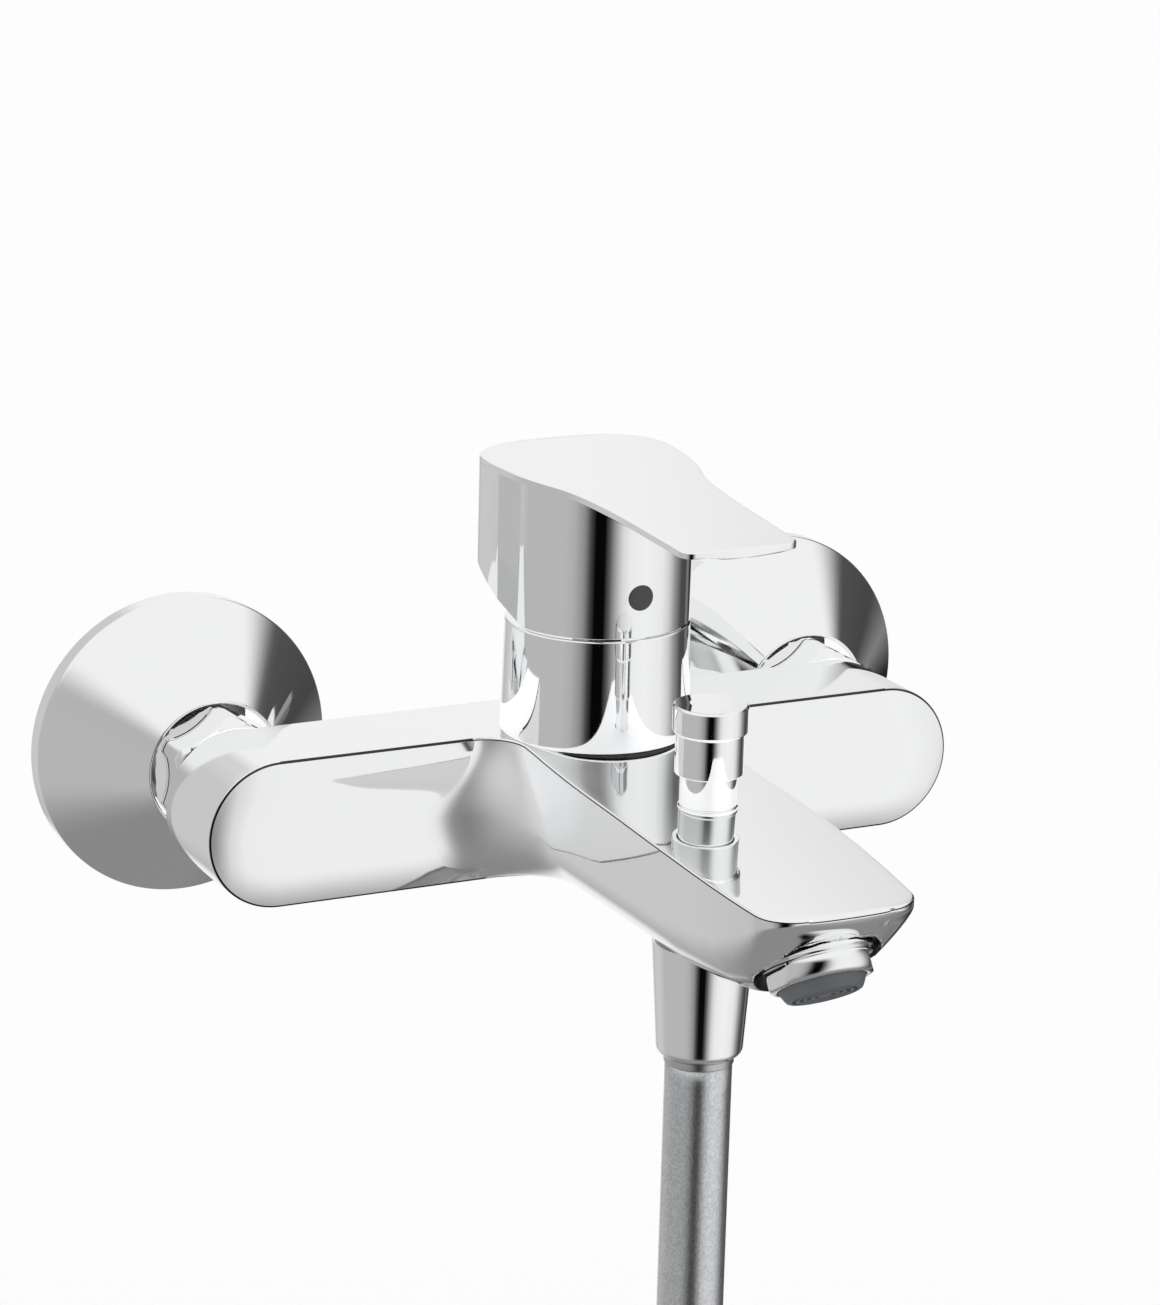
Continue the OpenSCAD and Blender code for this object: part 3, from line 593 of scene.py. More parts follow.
# How many quads run along a level of the body's skin: half its back, the round end of the back,
# the rounded edges and the band between them; then its front face begins.
BACK_STEPS, END_STEPS, EDGE_STEPS, BAND_STEPS = 6, 4, 3, 8
FACE_COLUMN = BACK_STEPS + END_STEPS + BAND_STEPS + 2 * EDGE_STEPS
EDGE_ANGLES = steps(0, 90, EDGE_STEPS)
# Where the columns of points stand along the arm's face, closer together at its end.
ARM_PARTS = (0, 0.02, 0.045, 0.075, 0.11, 0.15, 0.2, 0.27, 0.36, 0.46, 0.57, 0.68, 0.79, 0.9, 1)
# Distances from the nose's tip in millimetres, closer together at the tip.
NOSE_PARTS = (40, 30, 22, 16, 12, 9, 7, 5.4, 4.2, 3.2, 2.4, 1.7, 1.15, 0.7, 0.35, 0.12, 0)
BLEND_STEPS, SPOUT_STEPS, ACROSS_STEPS = 12, 14, 10


class BodyForm:
    """The measures of the cast body, in millimetres, and the shape rules of its spout."""

    def __init__(self, shape):
        self.edge = shape.edge / MM
        self.crown = shape.crown / MM
        self.crown_width = shape.crown_width / MM
        self.fillet_top = shape.fillet_top / MM
        self.fillet_low = shape.fillet_low / MM
        self.back = BODY_BACK_Y
        self.front = self.back - 25.4
        self.half = 16.5
        self.inner = self.half - self.edge
        self.middle = -4.0
        self.tip = BODY_TIP_Y
        self.belly = 16.3
        self.levels = 56
        self.band = steps(self.back - self.edge, self.front + self.edge, BAND_STEPS)

    def height(self, y):
        """Top of the body along its middle."""
        return follow([(-self.front - 1, 12.5), (70, 12.3), (80, 11.4), (93.6, 10.45),
                       (116.5, 9.5), (137.3, 8.4), (153.6, 7.15), (166, 6.2), (176.5, 5.5)], -y)

    def floor(self, y):
        """Underside of the spout along its middle, round the nose up to the top edge."""
        return follow([(61.3, -20.0), (76, -19.6), (135, -19.5), (145, -18.9), (154, -17.9),
                       (161, -15.4), (165.4, -12.2), (169, -7.6), (171.4, -3.6), (173.2, -0.6),
                       (174.9, 1.6), (176.1, 3.4), (-self.tip, 4.6)], -y)

    def half_width(self, y):
        """Half the width of the spout's top, tapered towards the tip, with rounded corners."""
        taper = max(-y - 120, 0) / 52
        width = 20.9 - 2.9 * taper ** 2.2
        corner_across, corner_along = 8.0, 6.5
        short = 1 - min((y - self.tip) / corner_along, 1)
        return width - corner_across * (1 - math.sqrt(max(1 - short ** 2, 0)))

    def side(self, y, v):
        """Point on the spout's side; v runs from 0 at the bottom to 1 at the top edge."""
        top, low = self.height(y) - self.edge, self.floor(y)
        tall = max(top - low, 0.0)
        w = self.half_width(y)
        flank = min(self.belly, w)
        rise = min(self.belly, 0.8 * tall)
        h = v * tall
        x = w
        if h < rise:
            x = w - flank + flank * math.sqrt(max(1 - (1 - h / rise) ** 2, 0))
        return x, y, low + h

    def fillet(self, v):
        """Radius of the blend between bar and spout at a level."""
        return self.fillet_top + (self.fillet_low - self.fillet_top) * ease((1 - v) / 0.55)

    def face_y(self, x, z):
        """Front face of the bar, crowned towards its border."""
        reach = math.hypot(max(abs(x) - INLET_X, 0), z - self.middle)
        inside = max(self.half - self.edge - reach, 0)
        t = 1 - min(inside / self.crown_width, 1)
        return self.front - self.crown * (1 - t * t)

    def level(self, degrees):
        """One level of the skin, from the middle of the back round arm and spout to the tip."""
        e = self.edge
        c, s = cos_sin(degrees)
        c = 0.0 if abs(c) < 1e-9 else c
        v = (s + 1) / 2
        z = self.middle + self.inner * s
        row = [(x * INLET_X, self.back, z) for x in steps(0, 1, BACK_STEPS)]
        row += [(INLET_X + self.inner * c * t, self.back, z) for t in steps(0, 1, END_STEPS)[1:]]

        def rim(radius, y):
            row.append((INLET_X + radius * c, y, self.middle + radius * s))

        for cos_b, sin_b in map(cos_sin, EDGE_ANGLES[1:]):
            rim(self.inner + e * sin_b, self.back - e * (1 - cos_b))
        for y in self.band[1:]:
            rim(self.half, y)
        for cos_b, sin_b in map(cos_sin, EDGE_ANGLES[1:]):
            rim(self.inner + e * cos_b, self.front + e * (1 - sin_b))
        radius = self.fillet(v)
        face = self.face_y(0, z)
        turn_y = face - radius
        x_side = self.side(turn_y, v)[0]
        x_first, x_last = INLET_X + self.inner * c, x_side + radius
        for t in ARM_PARTS[1:]:
            x = x_first + (x_last - x_first) * t
            row.append((x, self.face_y(x, z), z))
        for cos_g, sin_g in map(cos_sin, steps(0, 90, BLEND_STEPS)[1:]):
            y = face - radius * (1 - cos_g)
            row.append((x_side + radius * (1 - sin_g), y, self.side(y, v)[2]))
        first_tip = self.tip + NOSE_PARTS[0]
        for t in steps(0, 1, SPOUT_STEPS)[1:]:
            row.append(self.side(turn_y + (first_tip - turn_y) * t, v))
        row += [self.side(self.tip + d, v) for d in NOSE_PARTS[1:]]
        return row


def body_skin(shape):
    """The cast body as one closed surface."""
    form = BodyForm(shape)
    skin = Skin()
    rows = [form.level(a) for a in steps(-90, 90, form.levels)]
    # The front face's rounded border takes the dark second slot: a painted dark reflection along the
    # edge.
    skin.patch(rows, edges=(FACE_COLUMN - 2, FACE_COLUMN - 1))
    close_body(skin, form, rows, 1)
    close_body(skin, form, rows, -1)
    skin.mirror()
    return skin


def inward(line, i):
    """Direction in plan that points into the body at one point of an outline."""
    last = len(line) - 1
    if i == 0 or (i == last and line[i][0] < 1e-6):
        return np.array([0.0, 1.0])
    d = np.array(line[min(i + 1, last)][:2]) - np.array(line[i - 1][:2])
    return np.array([d[1], -d[0]]) / max(np.linalg.norm(d), 1e-9)


def close_body(skin, form, rows, side):
    """Closes the top (side 1) or the bottom (side -1): a rounded edge, then the surface inside it."""
    upper = side > 0
    e = form.edge
    front = (rows[-1] if upper else rows[0])[FACE_COLUMN:]
    arm_front = front[:len(ARM_PARTS)]
    lead = front[len(ARM_PARTS) - 1:]
    outline = lead + ([row[-1] for row in reversed(rows)][1:] if upper else [])
    across = steps(1, 0, ACROSS_STEPS)
    xs = [p[0] for p in arm_front]
    xs += [xs[-1] * t for t in across[1:]]
    z_edge = form.middle + side * form.inner
    arm_grid, spout_grid, back_grid = [], [], []
    for cos_b, sin_b in map(cos_sin, EDGE_ANGLES):
        lift = side * e * sin_b
        arm_grid.append([(p[0], p[1] + e * (1 - cos_b), p[2] + lift) for p in arm_front])
        back_grid.append([(x, form.back - e * (1 - cos_b), z_edge + lift) for x in xs])
        made = []
        for i, p in enumerate(outline):
            q = np.array(p[:2]) + inward(outline, i) * e * (1 - cos_b)
            # Below, the edge fades out along the spout.
            fade = 1.0 if upper else max(0.0, 1 - i / SPOUT_STEPS)
            made.append((max(q[0], 0.0), q[1], p[2] + lift * fade))
        spout_grid.append(made)
    # The arm's rounded edge and the spout's top edge take the dark second slot: painted dark reflection
    # lines.
    skin.patch(arm_grid, edges=range(len(arm_front)))
    skin.patch(spout_grid[:2], edges=range(len(outline)) if upper else ())
    skin.patch(spout_grid[1:])
    skin.patch(back_grid)
    flat = form.middle + side * form.half
    skin.patch([[(x, y, flat) for x in xs] for y in form.band])
    if upper:
        spout_top(skin, spout_grid[-1], len(lead), across)
    else:
        skin.patch([[(p[0] * t, p[1], p[2]) for t in across] for p in spout_grid[-1]])


def spout_top(skin, line, count, across):
    """The top of the spout, crowned a little across."""
    crown = 0.35
    grid = []
    for p in line[:count]:
        swell = crown * ease((-p[1] - 75) / 20)
        grid.append([(p[0] * t, p[1], p[2] + swell * (1 - t * t)) for t in across])
    skin.patch(grid)
    tail = line[count - 1:]
    skin.patch([tail, resample(grid[-1], len(tail))])


def resample(row, count):
    """The same row of points with another number of points."""
    points = np.array(row, float)
    places = np.linspace(0, len(points) - 1, count)
    return [tuple(np.interp(k, range(len(points)), points[:, a]) for a in range(3)) for k in places]


# --- operators ---


class FAUCET_OT_stage(bpy.types.Operator):
    """Camera, floor and white studio"""

    bl_idname = "faucet.stage"
    bl_label = "Camera and studio"

    # Grey of the screens round the object, by the angle from the camera's side in degrees.
    screens = [
        (-180, 0.93), (-164, 0.90), (-154, 0.50), (-138, 0.60), (-120, 0.60), (-100, 0.49),
        (-44, 0.49), (-32, 0.44), (-20, 0.28), (-12, 0.06), (-6, 0.002), (6, 0.002),
        (12, 0.10), (20, 0.40), (28, 0.72), (38, 0.88), (60, 0.93), (84, 0.86), (96, 0.66),
        (108, 0.30), (122, 0.08), (134, 0.06), (142, 0.22), (150, 0.02), (162, 0.01),
        (170, 0.75), (178, 0.93)]

    def execute(self, context):
        stage = context.scene.faucet_stage
        self.camera(context, stage)
        self.floor(stage)
        self.studio(context, stage)
        context.scene.view_settings.view_transform = "Standard"
        return {"FINISHED"}

    def camera(self, context, stage):
        """The camera, from its turn, tilt and roll."""
        data = bpy.data.cameras.new("camera")
        data.lens = stage.lens
        data.sensor_width = 36
        data.clip_start = 0.05
        data.clip_end = 50
        camera = bpy.data.objects.new("camera", data)
        context.collection.objects.link(camera)
        y, p, r = stage.yaw, -stage.pitch, stage.roll
        look = Vector((math.sin(y) * math.cos(p), math.cos(y) * math.cos(p), math.sin(p)))
        right = Vector((math.cos(y), -math.sin(y), 0))
        up = right.cross(look)
        across = right * math.cos(r) + up * math.sin(r)
        upward = up * math.cos(r) - right * math.sin(r)
        pose = Matrix((across, upward, -look)).transposed().to_4x4()
        camera.matrix_world = Matrix.Translation(Vector(stage.eye)) @ pose
        context.scene.camera = camera

    def floor(self, stage):
        """A wide pale floor under the hose's coil; mirrors don't show it."""
        low = cad_box[0][2] - 0.004
        mesh = bpy.data.meshes.new("floor")
        r = 6.0
        mesh.from_pydata([(-r, -r, low), (r, -r, low), (r, r, low), (-r, r, low)], [], [(0, 1, 2, 3)])
        floor = put("floor", mesh)
        floor.visible_glossy = False
        material, _, shader = principled("pale floor", stage.floor_color, 0.0)
        shader["Roughness"].default_value = 0.9
        mesh.materials.append(material)

    def studio(self, context, stage):
        """White light from all round with grey and black screens, as seen in the chrome."""
        world = bpy.data.worlds.new("studio")
        context.scene.world = world
        world.use_nodes = True
        tree = world.node_tree
        tree.nodes.clear()
        where = output_of(tree, "TexCoord", "Generated")
        x, y, z = node_with(tree, "SeparateXYZ", {"Vector": where}).outputs
        towards = math.atan2(stage.eye[1], stage.eye[0])
        turn = calc(tree, "SUBTRACT", calc(tree, "ARCTAN2", y, x), towards)
        turn = calc(tree, "WRAP", turn, math.pi, -math.pi)
        round_about = self.ramp(tree, map_range(tree, turn, -math.pi, math.pi, "LINEAR"))
        above = mix_colors(tree, map_range(tree, z, 0.34, 0.64), round_about, grey(0.93))
        mirror = mix_colors(tree, map_range(tree, z, -0.45, -0.9), above, grey(0.26))
        glossy = output_of(tree, "LightPath", "Is Glossy Ray")
        white = mix_colors(tree, glossy, grey(1), mirror)
        light = node_with(tree, "Background", {"Color": white, "Strength": stage.light})
        node_with(tree, "OutputWorld", {"Surface": light.outputs["Background"]})

    def ramp(self, tree, turn):
        """The greys of the screens over a full turn."""
        node = node_with(tree, "ValToRGB", {"Fac": turn})
        elements = node.color_ramp.elements
        for i, (angle, level) in enumerate(self.screens):
            at = angle / 360 + 0.5
            stop = elements[i] if i < 2 else elements.new(at)
            stop.position = at
            stop.color = grey(level)
        return node.outputs["Color"]


class FAUCET_OT_hose(bpy.types.Operator):
    """Shower hose: straight down, two coiled turns, and a short end"""

    bl_idname = "faucet.hose"
    bl_label = "Shower hose"

    def execute(self, context):
        shape = context.scene.faucet_hose
        route = self.route()
        hose = self.tube(route, shape.diameter / 2)
        fit(hose, [hose_skin()], "hose_silver", "shower_hose", "hose_coil", "hose_tail")
        ends = [frame["nodes"][n] for n in ("hose_tie", "hand_shower_gasket")]
        nut = self.end_nut()
        ends.append(self.ferrule("upper_ferrule", 0, -45.9))
        ends.append(self.ferrule("lower_ferrule", 30, -292.4))
        return {"FINISHED"}

    def route(self):
        """Points of the hose's middle line in metres."""
        drop = [-46, -60, -80, -100, -120, -140, -160, -180, -200, -216, -232]
        coil_r, coil_z, turns, pitch, per_turn = 79.5, -232, 2, 15, 48
        tail = [-252, -273, -294]
        points = [(0, DIVERTER_Y, z) for z in drop]
        for i in range(1, turns * per_turn + 1):
            a = math.pi + 2 * math.pi * i / per_turn
            points.append((coil_r + coil_r * math.cos(a), DIVERTER_Y + pitch * i / per_turn,
                           coil_z + coil_r * math.sin(a)))
        points += [(0, DIVERTER_Y + turns * pitch, z) for z in tail]
        return [Vector(p) for p in place(points)]

    def tube(self, route, radius, sides=28):
        """A round tube along the route with its length in the second UV coordinate."""
        fine = [a.lerp(b, t) for a, b in zip(route, route[1:]) for t in (0.0, 0.5)]
        fine.append(route[-1])
        verts, faces, uvs = [], [], []
        along, travelled = 0.0, []
        for i, p in enumerate(fine):
            ahead = fine[min(i + 1, len(fine) - 1)] - fine[max(i - 1, 0)]
            n = ahead.normalized().cross(Vector((0, 1, 0))).normalized()
            b = ahead.normalized().cross(n)
            for k in range(sides):
                a = 2 * math.pi * k / sides
                verts.append(p + radius * (math.cos(a) * n + math.sin(a) * b))
            if i:
                along += (p - fine[i - 1]).length
            travelled.append(along)
        for i in range(len(fine) - 1):
            for k in range(sides):
                a, b = i * sides + k, i * sides + (k + 1) % sides
                faces.append((a, b, b + sides, a + sides))
                uvs.append([(k / sides, travelled[i]), ((k + 1) / sides, travelled[i]),
                            ((k + 1) / sides, travelled[i + 1]), (k / sides, travelled[i + 1])])
        last = (len(fine) - 1) * sides
        faces.append(tuple(range(sides - 1, -1, -1)))
        faces.append(tuple(last + k for k in range(sides)))
        uvs += [[(0, 0)] * sides, [(0, 0)] * sides]
        mesh = bpy.data.meshes.new("hose")
        mesh.from_pydata(verts, [], faces)
        layer = mesh.uv_layers.new(name="UVMap")
        for polygon, corners in zip(mesh.polygons, uvs):
            for loop, uv in zip(polygon.loop_indices, corners):
                layer.data[loop].uv = uv
        return put("hose", mesh)

    def ferrule(self, name, back, top):
        """Thin crimped ring at an end of the hose, from its top down."""
        inner, outer, low = 7.32, 7.6, top - 1.5
        profile = rounded([(inner, top), (outer, top), (outer, low), (inner, low), (inner, top)], 0.1)
        return turned(name, "hose_ferrules", profile, upright(DIVERTER_Y + back), "turned steel", "steel")

    def end_nut(self):
        """Conical nut on the hose's free end."""
        low, high = heights_of("hand_shower_nut")
        y = axis_of("hand_shower_nut")[1]
        profile = rounded([(4.5, high), (10.3, high), (12.3, low + 1), (11.7, low), (10.48, low),
                           (10.48, low + 13), (9.5, low + 13), (9.5, low + 15), (4.5, low + 15),
                           (4.5, high)], 0.5)
        return turned("hand_shower_nut_shell", "hand_shower_nut", profile, upright(y))


class FAUCET_OT_body(bpy.types.Operator):
    """Cast body: crowned bar, filleted spout, rolled nose"""

    bl_idname = "faucet.body"
    bl_label = "Cast body"

    pocket_radius = 13.6
    pocket_depth = 40

    def execute(self, context):
        body = body_skin(context.scene.faucet_body).build("cast_body")
        self.cut_pocket(body)
        self.mark_hollows(body)
        crisp(body)
        # The second material is chrome painted dark for painted reflections on the edges and painted
        # shade in the recess.
        fit(body, [body_chrome(), surface("edge chrome")], "chrome_body", "faucet_body")
        self.sleeve_seat()
        return {"FINISHED"}

    def mark_hollows(self, body):
        """Marks the blends between bar and spout, where the polish is softer."""
        values = []
        for vertex in body.data.vertices:
            x, y = vertex.co.x / MM, vertex.co.y / MM
            n = vertex.normal
            beside_spout = 19 < abs(x) < 50 and -100 < y < -59
            hollow = beside_spout and n.y < 0 and n.x * x > 0
            values.append(ease(2.4 * abs(n.x * n.y)) if hollow else 0.0)
        mask = body.data.attributes.new("hollow", "FLOAT", "POINT")
        mask.data.foreach_set("value", values)

    def cut_pocket(self, body):
        """Cuts the round flat recess for the aerator into the underside of the nose."""
        r, depth = self.pocket_radius, self.pocket_depth
        cutter = lathe("pocket", [(0, 0), (r, 0), (r, -depth), (0, -depth)], at_outlet(), sides=96)
        # The recess walls take the dark second slot: painted shade in the aerator's recess.
        cutter.data.polygons.foreach_set("material_index", [1] * len(cutter.data.polygons))
        cut = body.modifiers.new("pocket", "BOOLEAN")
        cut.operation = "DIFFERENCE"
        cut.solver = "EXACT"
        cut.object = cutter
        bpy.context.view_layer.update()
        seen = body.evaluated_get(bpy.context.evaluated_depsgraph_get())
        made = bpy.data.meshes.new_from_object(seen)
        if len(made.polygons) < len(body.data.polygons) / 2:
            raise RuntimeError("the recess for the aerator could not be cut")
        body.modifiers.clear()
        body.data = made
        body.data.shade_smooth()
        bpy.data.objects.remove(cutter)

    def sleeve_seat(self):
        """Round seat of the cartridge sleeve on the body, in chrome painted dark as the painted shadow
        line under the sleeve.
        """
        low = heights_of("cartridge_sleeve")[0]
        profile = [(18.4, 8.0), (20.7, 8.0), (20.7, low - 1.2), (20.5, low - 1.0), (18.4, low - 1.0)]
        # Painted shadow line: the seat is dark chrome.
        turned("sleeve_seat", "faucet_body", profile, upright(CART_Y), "edge chrome", "chrome_body")


class FAUCET_OT_lever(bpy.types.Operator):
    """Lever: flat blade on a hollow hub, with its plug"""

    bl_idname = "faucet.lever"
    bl_label = "Lever"

    heel = [(0, 37.2), (7, 37.5), (13.6, 38.9), (19.2, 42.0), (22.0, 46.0), (22.6, 51.0), (22.2, 57.0)]
    neck = [(21.2, 64.7), (19.4, 71.3), (17.6, 76.5), (16.3, 82.0), (15.5, 88.0), (14.7, 98.0),
            (14.2, 112.0), (13.8, 122.5)]
    half_width = 22
    side_fall = 0.35

    def execute(self, context):
        shape = context.scene.faucet_lever
        skin = Skin()
        self.blade(skin, shape)
        self.hub(skin, shape)
        skin.mirror()
        lever = crisp(skin.build("lever"), math.radians(40))
        fit(lever, [surface("polished chrome")], "lever_chrome", "lever_handle", body="lever")
        self.plug()
        return {"FINISHED"}

    def top(self, x, y):
        """Height of the lever's top: falls towards the tip, and a little towards its sides."""
        t = -y - 37.5
        return 72.7 - 0.0146 * t - 0.00026 * t * t - self.side_fall * (x / self.half_width) ** 2

    def outline(self):
        """Half the plan outline, from the back to the tip."""
        line = spline(self.heel + self.neck, 6)
        corner, bow, reach = 3.4, 0.5, -LEVER_TIP_Y
        x0 = line[-1][0]
        for cos_g, sin_g in map(cos_sin, steps(0, 80, 6)[1:]):
            line.append(np.array([x0 - corner * (1 - cos_g), reach - bow - corner * (1 - sin_g)]))
        for t in steps(0, 1, 5)[1:]:
            x = (x0 - corner) * (1 - t)
            line.append(np.array([x, reach - bow * (x / x0) ** 2]))
        return [(max(p[0], 0.0), -p[1]) for p in line]

    def blade(self, skin, shape):
        """The flat plate with its upright edge and sloping underside."""
        e, lip = shape.edge / MM, shape.lip / MM
        line = self.outline()
        rows = []
        for cos_b, sin_b in map(cos_sin, steps(90, 0, 3)):
            inset, drop = e * (1 - cos_b), e * (1 - sin_b)
            rows.append([(max(x - inset, 0), self.pull(y, inset), self.top(x, y) - drop)
                         for x, y in line])
        top_row = rows[0]
        under = [(x, y, self.top(x, y) - lip) for x, y in line]
        rows.append(under)
        skin.patch(rows)
        swells = [self.side_fall * (p[0] / self.half_width) ** 2 for p in top_row]
        skin.patch([[(p[0] * t, p[1], p[2] + swell * (1 - t * t)) for t in steps(1, 0, 10)]
                    for p, swell in zip(top_row, swells)])
        grid = []
        for x, y, z in under:
            depth = 2.2 * ease((-y - 70) / 25) + 0.2
            depth *= 1 - 0.75 * ease((-y - 95) / 32)
            inner = max(x - 5, 0) / max(x, 1e-6)
            grid.append([(x, y, z), (x * (0.5 + inner / 2), y, z - depth * 0.7),
                         (x * inner, y, z - depth), (x * inner / 2, y, z - depth), (0, y, z - depth)])
        skin.patch(grid)

    def pull(self, y, inset):
        """Moves the ends of the outline inward for a rounded edge."""
        if y > -self.heel[0][1] - 1.5:
            return y - inset
        if y < LEVER_TIP_Y + 2.5:
            return y + inset
        return y

    def hub(self, skin, shape):
        """Hollow hub: squared at the back, round at the front, cut obliquely under the heel."""
        wall = shape.wall / MM
        radius = 20.5
        line = [(x, -y) for x, y in spline(self.heel, 6)]
        for cos_a, sin_a in map(cos_sin, steps(4, 90, 26)):
            line.append((max(radius * cos_a, 0.0), CART_Y - radius * sin_a))
        base = 37.9
        start = CART_Y - 2.5

        def low(y):
            return base + max(y - start, 0) * math.tan(math.radians(30))

        def ring(inset, z_of):
            made = []
            for x, y in line:
                d = math.hypot(x, y - CART_Y)
                k = (d - inset) / d
                made.append((x * k, CART_Y + (y - CART_Y) * k, z_of(y)))
            return made

        upper = [ring(0, lambda y, t=t: low(y) + 0.3 + (self.top(0, y) - 2.0 - low(y)) * t)
                 for t in (0, 0.1, 0.3, 0.6, 1)]
        rows = [ring(wall, lambda y: low(y) + 16), ring(wall, lambda y: low(y) + 4),
                ring(wall, low), ring(0.3, low)] + upper
        skin.patch(rows)
        skin.patch([[(x * t, y, z) for t in steps(1, 0, 4)] for x, y, z in rows[0]])

    def plug(self):
        """The dark plug over the grub screw, sunk a little in a ring."""
        z = sum(heights_of("index_plug")) / 2
        turn = Matrix.Translation((0, CART_Y - 20.53, z)) @ Matrix.Rotation(math.pi / 2, 4, "X")
        profile = rounded([(0, 0.1), (1.9, 0.08), (2.85, 0.0), (3.05, -0.35), (3.05, -1.3),
                           (0, -1.3)], 0.15)
        turned("index_plug_shell", "index_plug", profile, turn, "dark plug", "index_grey",
               body="lever", sides=48)


class FAUCET_OT_turned_parts(bpy.types.Operator):
    """Sleeve, diverter, rosettes, union nuts and hose nut"""

    bl_idname = "faucet.turned_parts"
    bl_label = "Turned parts"

    def execute(self, context):
        self.sleeve()
        self.diverter()
        for side, name in ((-1, "left"), (1, "right")):
            self.rosette(side, name)
            self.union_nut(side, name)
        self.hose_nut()
        return {"FINISHED"}

    def sleeve(self):
        """Cover sleeve over the cartridge, a little longer than its solid to meet the body."""
        low, high = heights_of("cartridge_sleeve")
        low -= 0.9
        profile = rounded([(19.4, low + 0.2), (20.6, low), (21.05, low + 0.3), (20.5, high - 0.4),
                           (20.1, high), (14.2, high), (14.2, high - 1)], 0.25)
        turned("sleeve", "cartridge_sleeve", profile, upright(CART_Y))

    def diverter(self):
        """Stepped knob of the diverter, and the guide that it slides in."""
        low, high = heights_of("diverter_knob")
        shoulder = low + 9.4
        profile = rounded([(6.3, low + 3), (6.3, low), (7.35, low), (7.35, shoulder - 0.5),
                           (7.75, shoulder - 0.4), (8.1, shoulder + 0.1), (8.1, high - 0.7),
                           (7.7, high - 0.15), (4.5, high - 0.02), (0, high)], 0.3)
        turned("diverter_cap", "diverter_knob", profile, upright(DIVERTER_Y), body="diverter")
        foot, head = heights_of("diverter_bonnet")
        lip = foot + 5.0
        profile = rounded([(6.1, foot), (6.1, lip + 0.0), (6.45, lip + 0.1), (6.45, lip + 0.8),
                           (6.1, lip + 1.1), (6.1, head), (2.05, head)], 0.15)
        turned("diverter_guide", "diverter_bonnet", profile, upright(DIVERTER_Y))

    def rosette(self, side, name):
        """Conical rosette with a rolled rim at the wall."""
        low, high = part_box(name + "_rosette")
        radius = (high[0] - low[0]) / 2 / MM
        depth = -low[1] / MM
        profile = [(radius - 0.9, 0), (radius, 0)]
        for cos_a, sin_a in map(cos_sin, steps(0, 50, 6)):
            profile.append((radius - 1.4 + 1.4 * cos_a, 3.9 + 1.4 * sin_a))
        profile += [(15.9, depth - 0.35), (15.75, depth - 0.1), (15.5, depth), (15.15, depth - 0.1),
                    (15.0, depth - 0.4), (radius - 2.4, 4.0), (radius - 0.9, 2.2)]
        turned(name + "_rosette_shell", name + "_rosette", profile, out_of_wall(side))

    def union_nut(self, side, name):
        """Six-sided union nut with chamfered ends."""
        low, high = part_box(name + "_union_nut")
        near, far = -high[1] / MM, -low[1] / MM
        half_flats = 13.25

        def six_sided(radius, height, angle):
            turn = (angle + math.pi / 6) % (math.pi / 3) - math.pi / 6
            return min(radius, half_flats / math.cos(turn))

        profile = [(9.4, near), (13.2, near), (13.9, near + 0.5), (14.5, near + 1.2)]
        profile += [(14.62, near + t) for t in (2.5, 5, 8, 11)]
        profile += [(14.5, far - 1.4), (13.9, far - 0.6), (13.2, far - 0.1), (12.6, far), (9.4, far)]
        turned(name + "_union_nut_shell", name + "_union_nut", profile, out_of_wall(side),
               sides=180, shape=six_sided)

    def hose_nut(self):
        """Conical hose nut under the body, rounded at its lower end."""
        low, high = heights_of("hose_nut")
        high += 0.5
        profile = [(8.8, high - 2), (8.8, high), (10.5, high), (10.85, high - 0.12),
                   (10.95, high - 0.45)]
        for cos_a, sin_a in map(cos_sin, steps(0, 85, 8)):
            profile.append((7.45 + 2.0 * cos_a, low + 2.1 - 2.0 * sin_a))
        profile += [(7.35, low + 0.1), (7.35, low + 3)]
        turned("hose_nut_shell", "hose_nut", profile, upright(DIVERTER_Y))


class FAUCET_OT_aerator(bpy.types.Operator):
    """Tilted aerator housing with wrench flats and its soft insert"""

    bl_idname = "faucet.aerator"
    bl_label = "Aerator"

    def execute(self, context):
        self.housing()
        self.insert()
        return {"FINISHED"}

    def housing(self):
        """Chrome housing with two pairs of wrench flats."""
        flats = [math.radians(a) for a in (150, 188, -30, 8)]
        flats_low, flats_high, half_flats = -6.4, -1.9, 10.8

        def cut(radius, height, angle):
            if flats_low < height < flats_high:
                for a in flats:
                    away = math.cos(angle - a)
                    if away > 0.5:
                        radius = min(radius, half_flats / away)
            return radius

        profile = [(9.5, 3), (10.95, 3), (10.95, 0.1),
                   (11.5, 0.0), (11.95, -0.15), (12.15, -0.5), (12.1, -0.85), (11.6, -1.15),
                   (11.4, -1.5), (11.6, -1.85), (11.9, -2.05), (12.0, -2.4), (12.0, -3.2),
                   (11.85, -4.4), (11.4, -5.3), (11.0, -5.8), (10.5, -6.1), (9.9, -6.25),
                   (9.5, -6.1), (9.4, -5.6)]
        turned("aerator_shell", "aerator_housing", profile, at_outlet(), sides=180, shape=cut)

    def insert(self):
        """Soft insert with ring grooves in its face."""
        face, groove = -8.7, -8.1
        profile = [(0, 3), (9.3, 3), (9.35, -5.8), (9.2, -6.3), (8.4, -7.9), (8.0, -8.5), (7.6, face)]
        radius = 7.0
        while radius > 1.2:
            profile += [(radius, face), (radius - 0.12, groove), (radius - 0.75, groove),
                        (radius - 0.87, face)]
            radius -= 1.55
        profile.append((0, face))
        turned("aerator_insert_shell", "aerator_insert", profile, at_outlet(), "grey silicone",
               "insert_grey", sides=96)


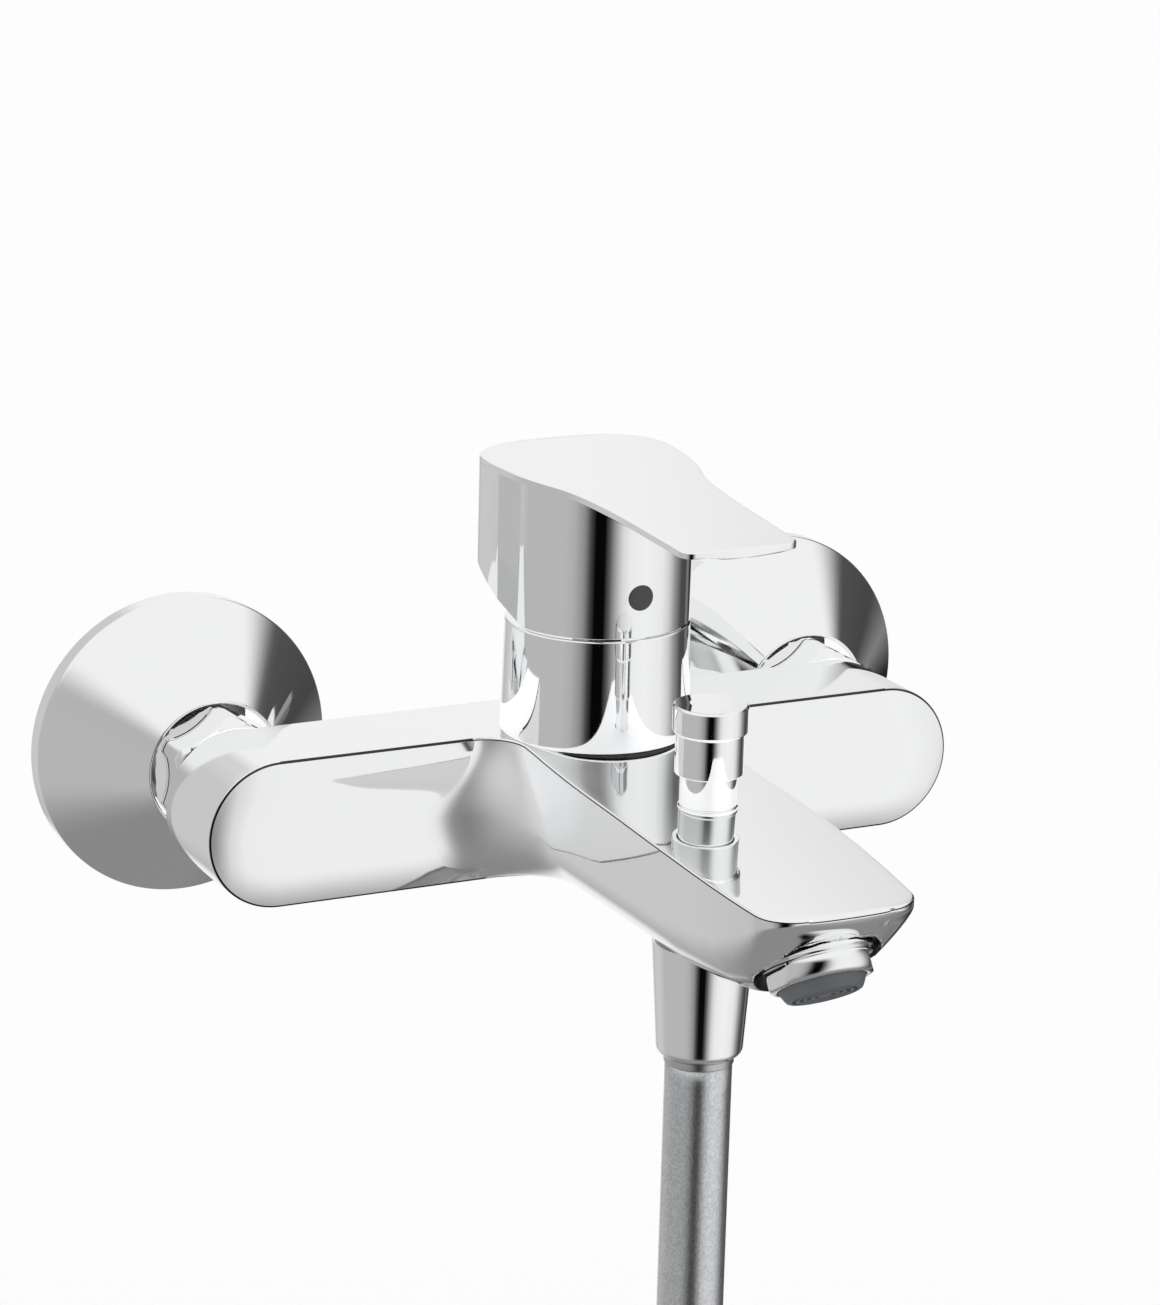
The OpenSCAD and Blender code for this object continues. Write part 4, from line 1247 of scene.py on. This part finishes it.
class FAUCET_OT_inner_parts(bpy.types.Operator):
    """Materials of the pieces that keep their engineering shape"""

    bl_idname = "faucet.inner_parts"
    bl_label = "Inner parts"

    looks = {
        "brass": "machined brass", "steel": "turned steel", "ceramic": "lapped ceramic",
        "black_rubber": "black rubber", "cartridge_plastic": "light plastic",
        "dark_plastic": "dark plastic", "limit_red": "red plastic", "valve_blue": "blue plastic",
        "insert_grey": "grey silicone", "index_grey": "dark plug", "chrome_body": "polished chrome",
        "chrome_trim": "polished chrome", "lever_chrome": "polished chrome",
    }
    plated = ("left_s_union", "right_s_union", "left_inlet_nipple", "right_inlet_nipple",
              "shower_nipple")

    def execute(self, context):
        slot_of = {p["node"]: p["material_slot"] for p in frame["record"]["subparts"]}
        for name, node in frame["nodes"].items():
            if slot_of[name] == "hose_silver":
                material = hose_skin()
            else:
                material = surface("dull nickel" if name in self.plated else self.looks[slot_of[name]])
            for slot in node.material_slots:
                slot.material = material
        return {"FINISHED"}


class FAUCET_PT_panel(bpy.types.Panel):
    """Sidebar panel with the faucet's steps"""

    bl_label = "Bath Faucet"
    bl_idname = "FAUCET_PT_panel"
    bl_space_type = "VIEW_3D"
    bl_region_type = "UI"
    bl_category = "Faucet"

    def draw(self, context):
        for step in STEPS:
            self.layout.operator(step.bl_idname)


STEPS = (FAUCET_OT_stage, FAUCET_OT_hose, FAUCET_OT_body, FAUCET_OT_lever, FAUCET_OT_turned_parts,
         FAUCET_OT_aerator, FAUCET_OT_inner_parts)
GROUPS = {"faucet_finish": FaucetFinish, "faucet_body": FaucetBodyShape,
          "faucet_lever": FaucetLeverShape, "faucet_hose": FaucetHoseShape, "faucet_stage": FaucetStage}


def register():
    """Registers the classes and puts the settings on the scene."""
    for cls in (*GROUPS.values(), *STEPS, FAUCET_PT_panel):
        bpy.utils.register_class(cls)
    for name, cls in GROUPS.items():
        setattr(bpy.types.Scene, name, PointerProperty(type=cls))


def unregister():
    """Removes what register added."""
    for name in GROUPS:
        delattr(bpy.types.Scene, name)
    for cls in reversed((*GROUPS.values(), *STEPS, FAUCET_PT_panel)):
        bpy.utils.unregister_class(cls)


def main():
    """Makes every piece in order."""
    register()
    for step in STEPS:
        area, action = step.bl_idname.split(".")
        getattr(getattr(bpy.ops, area), action)()


if __name__ == "__main__":
    main()
